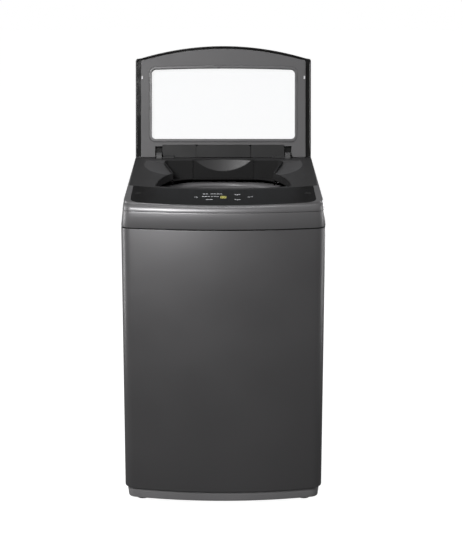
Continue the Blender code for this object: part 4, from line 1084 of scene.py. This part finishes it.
def print_row(name, x, y, size, material=PRINT_WITH_GLOW, count=1, step=0.0):
    """A row of flat marks on the panel's face."""
    marks = BLOCK_ROW.grow(name, material, Start=(x, y / math.cos(DECK_TURN), INK / 2), Step=(step, 0, 0),
                           Count=count, Size=(size[0], size[1], INK))
    marks.data.transform(ON_DECK)
    return dress(marks, material)


def print_ring(name, x, y, radius, width, material=PRINT_WITH_GLOW):
    inner, outer = radius - width / 2, radius + width / 2
    ring_mark = lathe(name, [(inner, 0.0), (outer, 0.0), (outer, INK), (inner, INK)], 40, True,
                      (x, y / math.cos(DECK_TURN)))
    ring_mark.data.transform(ON_DECK)
    return dress(ring_mark, material)


print_ring("power_key_ring", -0.0722, -0.1918, 0.0042, 0.0011)
print_row("power_key_bar", -0.0722, -0.1870, (0.0010, 0.0055))
TALL = 0.0042                      # the printed words stand this high, as plain bars
print_row("programme_marks_1", -0.0518, -0.1625, (0.0060, TALL), count=2, step=0.0076)
print_row("programme_marks_2", -0.0310, -0.1625, (0.0064, TALL), count=4, step=0.0080)
print_row("programme_marks_3", -0.0535, -0.1853, (0.0058, TALL), count=3, step=0.0074)
print_row("programme_marks_4", -0.0300, -0.1853, (0.0058, TALL), count=3, step=0.0074)
print_row("programme_marks_5", -0.0420, -0.2120, (0.0082, TALL), count=2, step=0.0096)
for row, y in enumerate((-0.1683, -0.2120)):
    print_row("option_marks_%d" % (row + 1), 0.0320, y, (0.0044, TALL), count=3, step=0.0054)
    print_row("option_tick_%d" % (row + 1), 0.0372, y - 0.0075, (0.0030, 0.0016))
print_ring("start_key_ring", 0.0680, -0.1892, 0.0030, 0.0009)
print_row("start_key_bars", 0.0740, -0.1892, (0.0012, 0.0070), count=2, step=0.0030)
DIGIT_TALL, DIGIT_WIDE, DIGIT_Y, STROKE = 0.0175, 0.0056, -0.1918, 0.0011
FLAT, UPRIGHT = (DIGIT_WIDE * 0.8, STROKE * 1.6), (STROKE, DIGIT_TALL * 0.42)
SEGMENTS = ((0, 0.5, FLAT), (0, 0, FLAT), (0, -0.5, FLAT), (-0.5, 0.25, UPRIGHT), (0.5, 0.25, UPRIGHT),
            (-0.5, -0.25, UPRIGHT), (0.5, -0.25, UPRIGHT))
for place, x in enumerate((-0.0040, 0.0040)):
    for part, (dx, dy, size) in enumerate(SEGMENTS):
        print_row("digit_%d_%d" % (place + 1, part + 1), x + dx * DIGIT_WIDE, DIGIT_Y + dy * DIGIT_TALL,
                  size, LIT)

board = Finish("board_lacquer", Specular_IOR_Level=0.5)
tracks = board.node("ShaderNodeTexBrick", None, {
    "Vector": board.place, "Scale": 90.0, "Mortar Size": 0.03, "Color1": (0.01, 0.10, 0.04, 1),
    "Color2": (0.015, 0.13, 0.05, 1), "Mortar": (0.10, 0.22, 0.08, 1)})
board.set(Base_Color=tracks, Roughness=board.ramp(board.noise(60.0), 0.3, 0.7, 0.35, 0.5))
tidy_copy("control_board", 0.0003, board.material)


# ---- Hood and water valves ----------------------------------------------------------------
# A fixed hood closes the cover's back. The two inlet valves stand behind it, blue for cold and red
# for hot, with threaded spouts for the hoses.
HOOD_GREY = lacquer("hood_grey", 62, 70, 0.42)
hood_low, hood_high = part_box("rear_cover")
hood = slab("rear_hood", hood_low, hood_high)
soften(hood, 0.0045, 4)
carve(hood, slab("hood_inside", (-0.2520, HOOD_FRONT + 0.003, 0.88), (0.2520, hood_high.y - 0.003, 0.9130)))
soften(hood, 0.0004, 2)
dress(hood, HOOD_GREY, stands_for=["rear_cover"])
VALVE_JOINT = 0.2600               # the spout starts here, on the valve's square body
for name, tone in (("cold", (0.045, 0.15, 0.42, 1)), ("hot", (0.42, 0.035, 0.03, 1))):
    valve = Finish(name + "_valve_plastic")
    fine = valve.noise(500.0)
    dark = tuple(0.75 * c for c in tone[:3]) + (1,)
    valve.set(Base_Color=valve.blend(valve.ramp(fine, 0.35, 0.65, 0.0, 1.0), dark, tone),
              Roughness=valve.ramp(fine, 0.3, 0.7, 0.38, 0.50))
    valve.bump(fine, 0.15, 0.0002)
    node, slot = "inlet_valve_" + name, "blue_plastic" if name == "cold" else "red_plastic"
    low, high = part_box(node)
    x, z = (low.x + high.x) / 2, (low.z + high.z) / 2
    profile = [(0.0, 0.2590), (0.0127, 0.2590)]
    for turn in range(6):
        thread = 0.2650 + turn * 0.0026
        profile += [(0.0127, thread), (0.0132, thread + 0.0006), (0.0132, thread + 0.0012),
                    (0.0127, thread + 0.0018)]
    profile += [(0.0127, high.y - 0.0006), (0.0121, high.y), (0.0095, high.y), (0.0090, high.y - 0.0006),
                (0.0090, VALVE_JOINT), (0.0, VALVE_JOINT)]
    spout_made = lathe("valve_spout_" + name, profile, 64, False)
    spout_made.data.transform(facing_back(x, z))
    dress(spout_made, valve.material)
    valve_body = slab("valve_body_" + name, (x - 0.018, low.y, z - 0.018), (x + 0.018, VALVE_JOINT, z + 0.018))
    soften(valve_body, 0.0030, 4)
    dress(valve_body, valve.material, stands_for=[node])
    coil_y = low.y + 0.013
    coil_case = drum("valve_coil_" + name, (x, coil_y, z - 0.0175), (x, coil_y, z - 0.0220), 0.0100, 48)
    dress(soften(coil_case, 0.0008, 2), SHADOW)


# ---- Hinge arms ---------------------------------------------------------------------------
# Two moulded grey arms, fixed under the cover, stand up through slots in the deck. Their round
# heads carry the steel pins that the lid turns on.
PIN_BORE = 0.0033
ARM_GREY = moulded("hinge_arm_grey", 60, 68, 0.48, 600.0, 0.10)
for side, name in ((-1, "left"), (1, "right")):
    near, far = sorted((side * 0.180, side * 0.195))
    foot_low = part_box("hinge_arm_" + name)[0].z
    arm = drum("hinge_arm_" + name + "_made", (near, HINGE_Y, HINGE_Z), (far, HINGE_Y, HINGE_Z), 0.0165, 96)
    arm_foot = slab("arm_foot", (near, HINGE_Y - 0.010, foot_low), (far, HINGE_Y + 0.010, HINGE_Z))
    carve(arm, arm_foot, operation="UNION")
    carve(arm, drum("arm_bore", (near - 0.01, HINGE_Y, HINGE_Z), (far + 0.01, HINGE_Y, HINGE_Z), PIN_BORE, 32))
    soften(arm, 0.0010, 3, 40)
    dress(arm, ARM_GREY, stands_for=["hinge_arm_" + name])


# ---- Lid ----------------------------------------------------------------------------------
# A toughened pane, enamelled black round its edge, bonded in a thin black rim. A grey frame under it
# holds the window's bezel and the three hinge bars. It stands open, leaning back a little.
LID_LEAN = math.radians(12.05)
LID_HALF, LID_CENTRE, LID_CORNER = 0.257, 0.3285, 0.2895
WINDOW_ARCH = 0.004                # the window's front edge is arched by this
UNDER_GLASS = 0.0177               # frame, bezel and bars end just under the pane
ON_LID = Matrix.Translation((0, HINGE_Y, HINGE_Z)) @ Matrix.Rotation(-LID_LEAN, 4, "X")


def lid_shape(half, low, centre):
    """The lid's outline in its own plane: straight sides and foot, arched front edge."""
    fall, corner = (LID_CENTRE - LID_CORNER) * (half / LID_HALF) ** 2, 0.007
    right = arc((half - corner, centre - fall - corner + 0.002), corner, 0, 72, 8)
    tip = right[-1][0]
    top = [(tip * (1 - i / 24), centre - fall * (1 - i / 24) ** 2) for i in range(1, 48)]
    return [(-half, low), (half, low)] + right + top + [(-x, y) for x, y in reversed(right)]


def rounded(x0, x1, y0, y1, radius, arch=0.0, steps=10):
    left, right, low, high = x0 + radius, x1 - radius, y0 + radius, y1 - radius
    outline = arc((right, low), radius, -90, 0, steps) + arc((right, high), radius, 0, 90, steps)
    outline += [(right - (x1 - x0 - 2 * radius) * i / 24, y1) for i in range(1, 24)]
    outline += arc((left, high), radius, 90, 180, steps) + arc((left, low), radius, 180, 270, steps)
    middle, half = (y0 + y1) / 2, (x1 - x0) / 2
    return [(x, y + (arch * (1 - (x / half) ** 2) if y > middle else 0.0)) for x, y in outline]


def leaf(name, outline, near, far):
    """A flat layer of the lid, still in the lid's own plane: near is its underside."""
    return skin(name, [[Vector((x, y, z)) for x, z in outline] for y in (near, far)], caps=True)


def fit(made, material, nodes=()):
    made.data.transform(ON_LID)
    return dress(made, material, "lid", nodes)


RIM_BLACK = moulded("rim_black", 20, 27, 0.34, 700.0, 0.10)
rim = leaf("lid_rim_made", lid_shape(LID_HALF, 0.001, LID_CENTRE), 0.0120, 0.0225)
carve(rim, leaf("rim_inside", lid_shape(0.2536, 0.0046, LID_CENTRE - 0.0034), 0.0, 0.03),
      slab("foot_relief", (-0.2414, -0.01, -0.01), (0.2414, 0.0179, 0.0060)))
fit(soften(rim, 0.0012, 3, 40), RIM_BLACK, ["lid_rim"])

enamelled = Finish("enamelled_glass", Coat_Weight=1.0, Coat_Roughness=0.03, Specular_IOR_Level=0.5)
haze = enamelled.noise(20.0, 3.0)
enamelled.set(Base_Color=enamelled.blend(enamelled.ramp(haze, 0.4, 0.7, 0.0, 1.0), grey(16), grey(21)),
              Roughness=enamelled.ramp(haze, 0.3, 0.7, 0.10, 0.18))
border = leaf("glass_border", lid_shape(0.2533, 0.0049, LID_CENTRE - 0.0037), 0.0180, 0.0220)
carve(border, leaf("clear_area", rounded(-0.2106, 0.2106, 0.0547, 0.2599, 0.0125, WINDOW_ARCH), 0.0, 0.03))
fit(soften(border, 0.0004, 2, 30), enamelled.material, ["lid_glass"])

clear = Finish("clear_glass", IOR=1.50, Coat_Weight=0.6, Coat_Roughness=0.02)
# The pane's pale tint grows more opaque towards grazing views by the Fresnel term: a painted sheen, for the
# light the glass reflects.
sheen = clear.node("ShaderNodeFresnel", None, {"IOR": 1.45})
clear.set(Base_Color=clear.blend(clear.noise(6.0), (0.80, 0.86, 0.92, 1), (0.86, 0.90, 0.95, 1)),
          Roughness=clear.ramp(clear.noise(12.0), 0.3, 0.7, 0.03, 0.07), Alpha=sheen * 0.4 + 0.05)
pane = leaf("clear_pane", rounded(-0.2105, 0.2105, 0.0548, 0.2598, 0.0125, WINDOW_ARCH), 0.0182, 0.0218)
fit(pane, clear.material)

FRAME_GREY = moulded("lid_frame_grey", 94, 102, 0.50, 600.0, 0.08, Specular_IOR_Level=0.3)
frame_made = leaf("lid_frame_made", lid_shape(0.2410, 0.001, 0.3195), 0.0035, UNDER_GLASS)
soften(frame_made, 0.0030, 3, 40)
carve(frame_made, leaf("bezel_seat", rounded(-0.2166, 0.2166, 0.0464, 0.2665, 0.018, WINDOW_ARCH), -0.01, 0.03),
      slab("bar_seat", (-0.1783, -0.01, -0.01), (0.1783, 0.03, 0.0384)))
for side in (-1, 1):
    near, far = sorted((side * 0.170, side * 0.1995))
    carve(frame_made, slab("arm_gap", (near, -0.01, -0.01), (far, 0.03, 0.0340)))
fit(soften(frame_made, 0.0005, 2, 34), FRAME_GREY, ["lid_frame"])

BEZEL_GREY = moulded("bezel_grey", 98, 108, 0.30, 600.0, 0.04)
bezel_edge = rounded(-0.2163, 0.2163, 0.0467, 0.2662, 0.018, WINDOW_ARCH)
bezel = leaf("lid_bezel_made", bezel_edge, 0.0015, UNDER_GLASS)
soften(bezel, 0.0022, 4, 40)
carve(bezel, leaf("window", rounded(-0.2097, 0.2097, 0.0556, 0.2590, 0.012, WINDOW_ARCH), -0.01, 0.03))
fit(soften(bezel, 0.0010, 3, 40), BEZEL_GREY, ["lid_bezel"])

BAR_DARK = moulded("hinge_bar_dark", 34, 39, 0.50, 600.0, 0.10, Specular_IOR_Level=0.3)
BAR_UNDER, BAR_FOOT, BAR_TOP = 0.0008, 0.001, 0.0380
chamfer = [(-0.0800, BAR_FOOT), (0.0800, BAR_FOOT), (0.0800, 0.0340), (0.0740, BAR_TOP), (-0.0740, BAR_TOP),
           (-0.0800, 0.0340)]
centre_bar = leaf("centre_bar", chamfer, BAR_UNDER, UNDER_GLASS)
fit(soften(centre_bar, 0.0012, 3, 30), BAR_DARK, ["hinge_bar_centre"])
for side, name in ((-1, "left"), (1, "right")):
    near, far = sorted((side * 0.0805, side * 0.1778))
    bar = slab("side_bar_" + name, (near, BAR_UNDER, BAR_FOOT), (far, UNDER_GLASS, BAR_TOP))
    carve(bar, drum("lug", (side * 0.1435, 0, 0), (side * 0.1716, 0, 0), 0.0065, 48), operation="UNION")
    carve(bar, drum("pin_bore", (side * 0.1470, 0, 0), (side * 0.190, 0, 0), PIN_BORE, 32))
    fit(soften(bar, 0.0012, 3, 40), BAR_DARK, ["hinge_bar_" + name])
    pin = drum("pin_" + name, (side * 0.1475, 0, 0), (side * 0.1957, 0, 0), 0.0030, 32)
    fit(soften(pin, 0.0004, 2), PIN_STEEL, ["hinge_pin_" + name])
    near, far = sorted((side * 0.2350, side * 0.2390))
    pad = slab("bumper_" + name, (near, 0.0008, 0.2305), (far, 0.0034, 0.2395))
    fit(soften(pad, 0.0009, 3), rubber("white_rubber_" + name, 232), ["lid_bumper_" + name])


# ---- Floor, light and camera --------------------------------------------------------------
# A white seamless floor and backdrop, one soft light high at the left in front, tall weak lights at
# both sides for the corners, and dim, even light from the room.
def backdrop(made, tone, share):
    """The floor and backdrop show white to the camera but throw no light back on the machine."""
    paper = Finish(made.name + "_paper", Specular_IOR_Level=0.0, Roughness=1.0, Emission_Strength=tone,
                   Emission_Color=(1.0, 1.0, 1.0, 1))
    cooler = (share, share, share * 1.01, 1)
    paper.set(Base_Color=paper.blend(paper.noise(0.6), (share, share, share, 1), cooler))
    made.data.materials.append(paper.material)
    made.visible_diffuse = made.visible_glossy = made.visible_shadow = False


backdrop(slab("floor", (-40, -40, -0.02), (40, 40, 0.0)), 0.97, 0.30)
far_wall = lathe("backdrop", [(39.0, -0.5), (39.0, 30.0), (0.0, 31.0)], 48, False)
backdrop(far_wall, 1.0, 0.0)


def soft_light(name, place, aim, width, height, power):
    lamp = bpy.data.lights.new(name, "AREA")
    lamp.shape, lamp.size, lamp.size_y, lamp.energy = "RECTANGLE", width, height, power
    made = bpy.data.objects.new(name, lamp)
    made.location = place
    made.rotation_euler = (Vector(aim) - Vector(place)).to_track_quat("-Z", "Y").to_euler()
    made.visible_camera = False
    bpy.context.scene.collection.objects.link(made)


# each light's place, what it faces, its width, height and power in watts
soft_light("key_light", (-1.15, -2.50, 2.45), (0, 0, 0.8), 0.9, 0.9, 84)
soft_light("left_edge", (-2.20, 0.30, 0.95), (0, 0, 0.7), 0.5, 1.8, 16)
soft_light("right_edge", (2.20, 0.30, 0.95), (0, 0, 0.7), 0.5, 1.8, 11)
soft_light("rear_light", (1.90, 2.70, 1.00), (0, 0, 0.5), 1.2, 1.2, 45)
soft_light("overhead", (0.0, 0.30, 2.90), (0, 0, 0.8), 0.8, 0.8, 8)

room = bpy.data.worlds.new("room")
room.use_nodes = True
room.node_tree.nodes["Background"].inputs["Color"].default_value = (1.0, 1.0, 1.0, 1)
room.node_tree.nodes["Background"].inputs["Strength"].default_value = 0.115
bpy.context.scene.world = room
bpy.context.scene.view_settings.view_transform = "Standard"

lens = bpy.data.cameras.new("camera")
lens.lens, lens.sensor_width, lens.shift_x = 85.37, 36.0, 0.01455
lens.clip_end = 200.0
camera = bpy.data.objects.new("camera", lens)
camera.location = (0.0, -3.676, 1.386)
camera.rotation_euler = (math.radians(77.47), 0.0, 0.0)
bpy.context.scene.collection.objects.link(camera)
bpy.context.scene.camera = camera
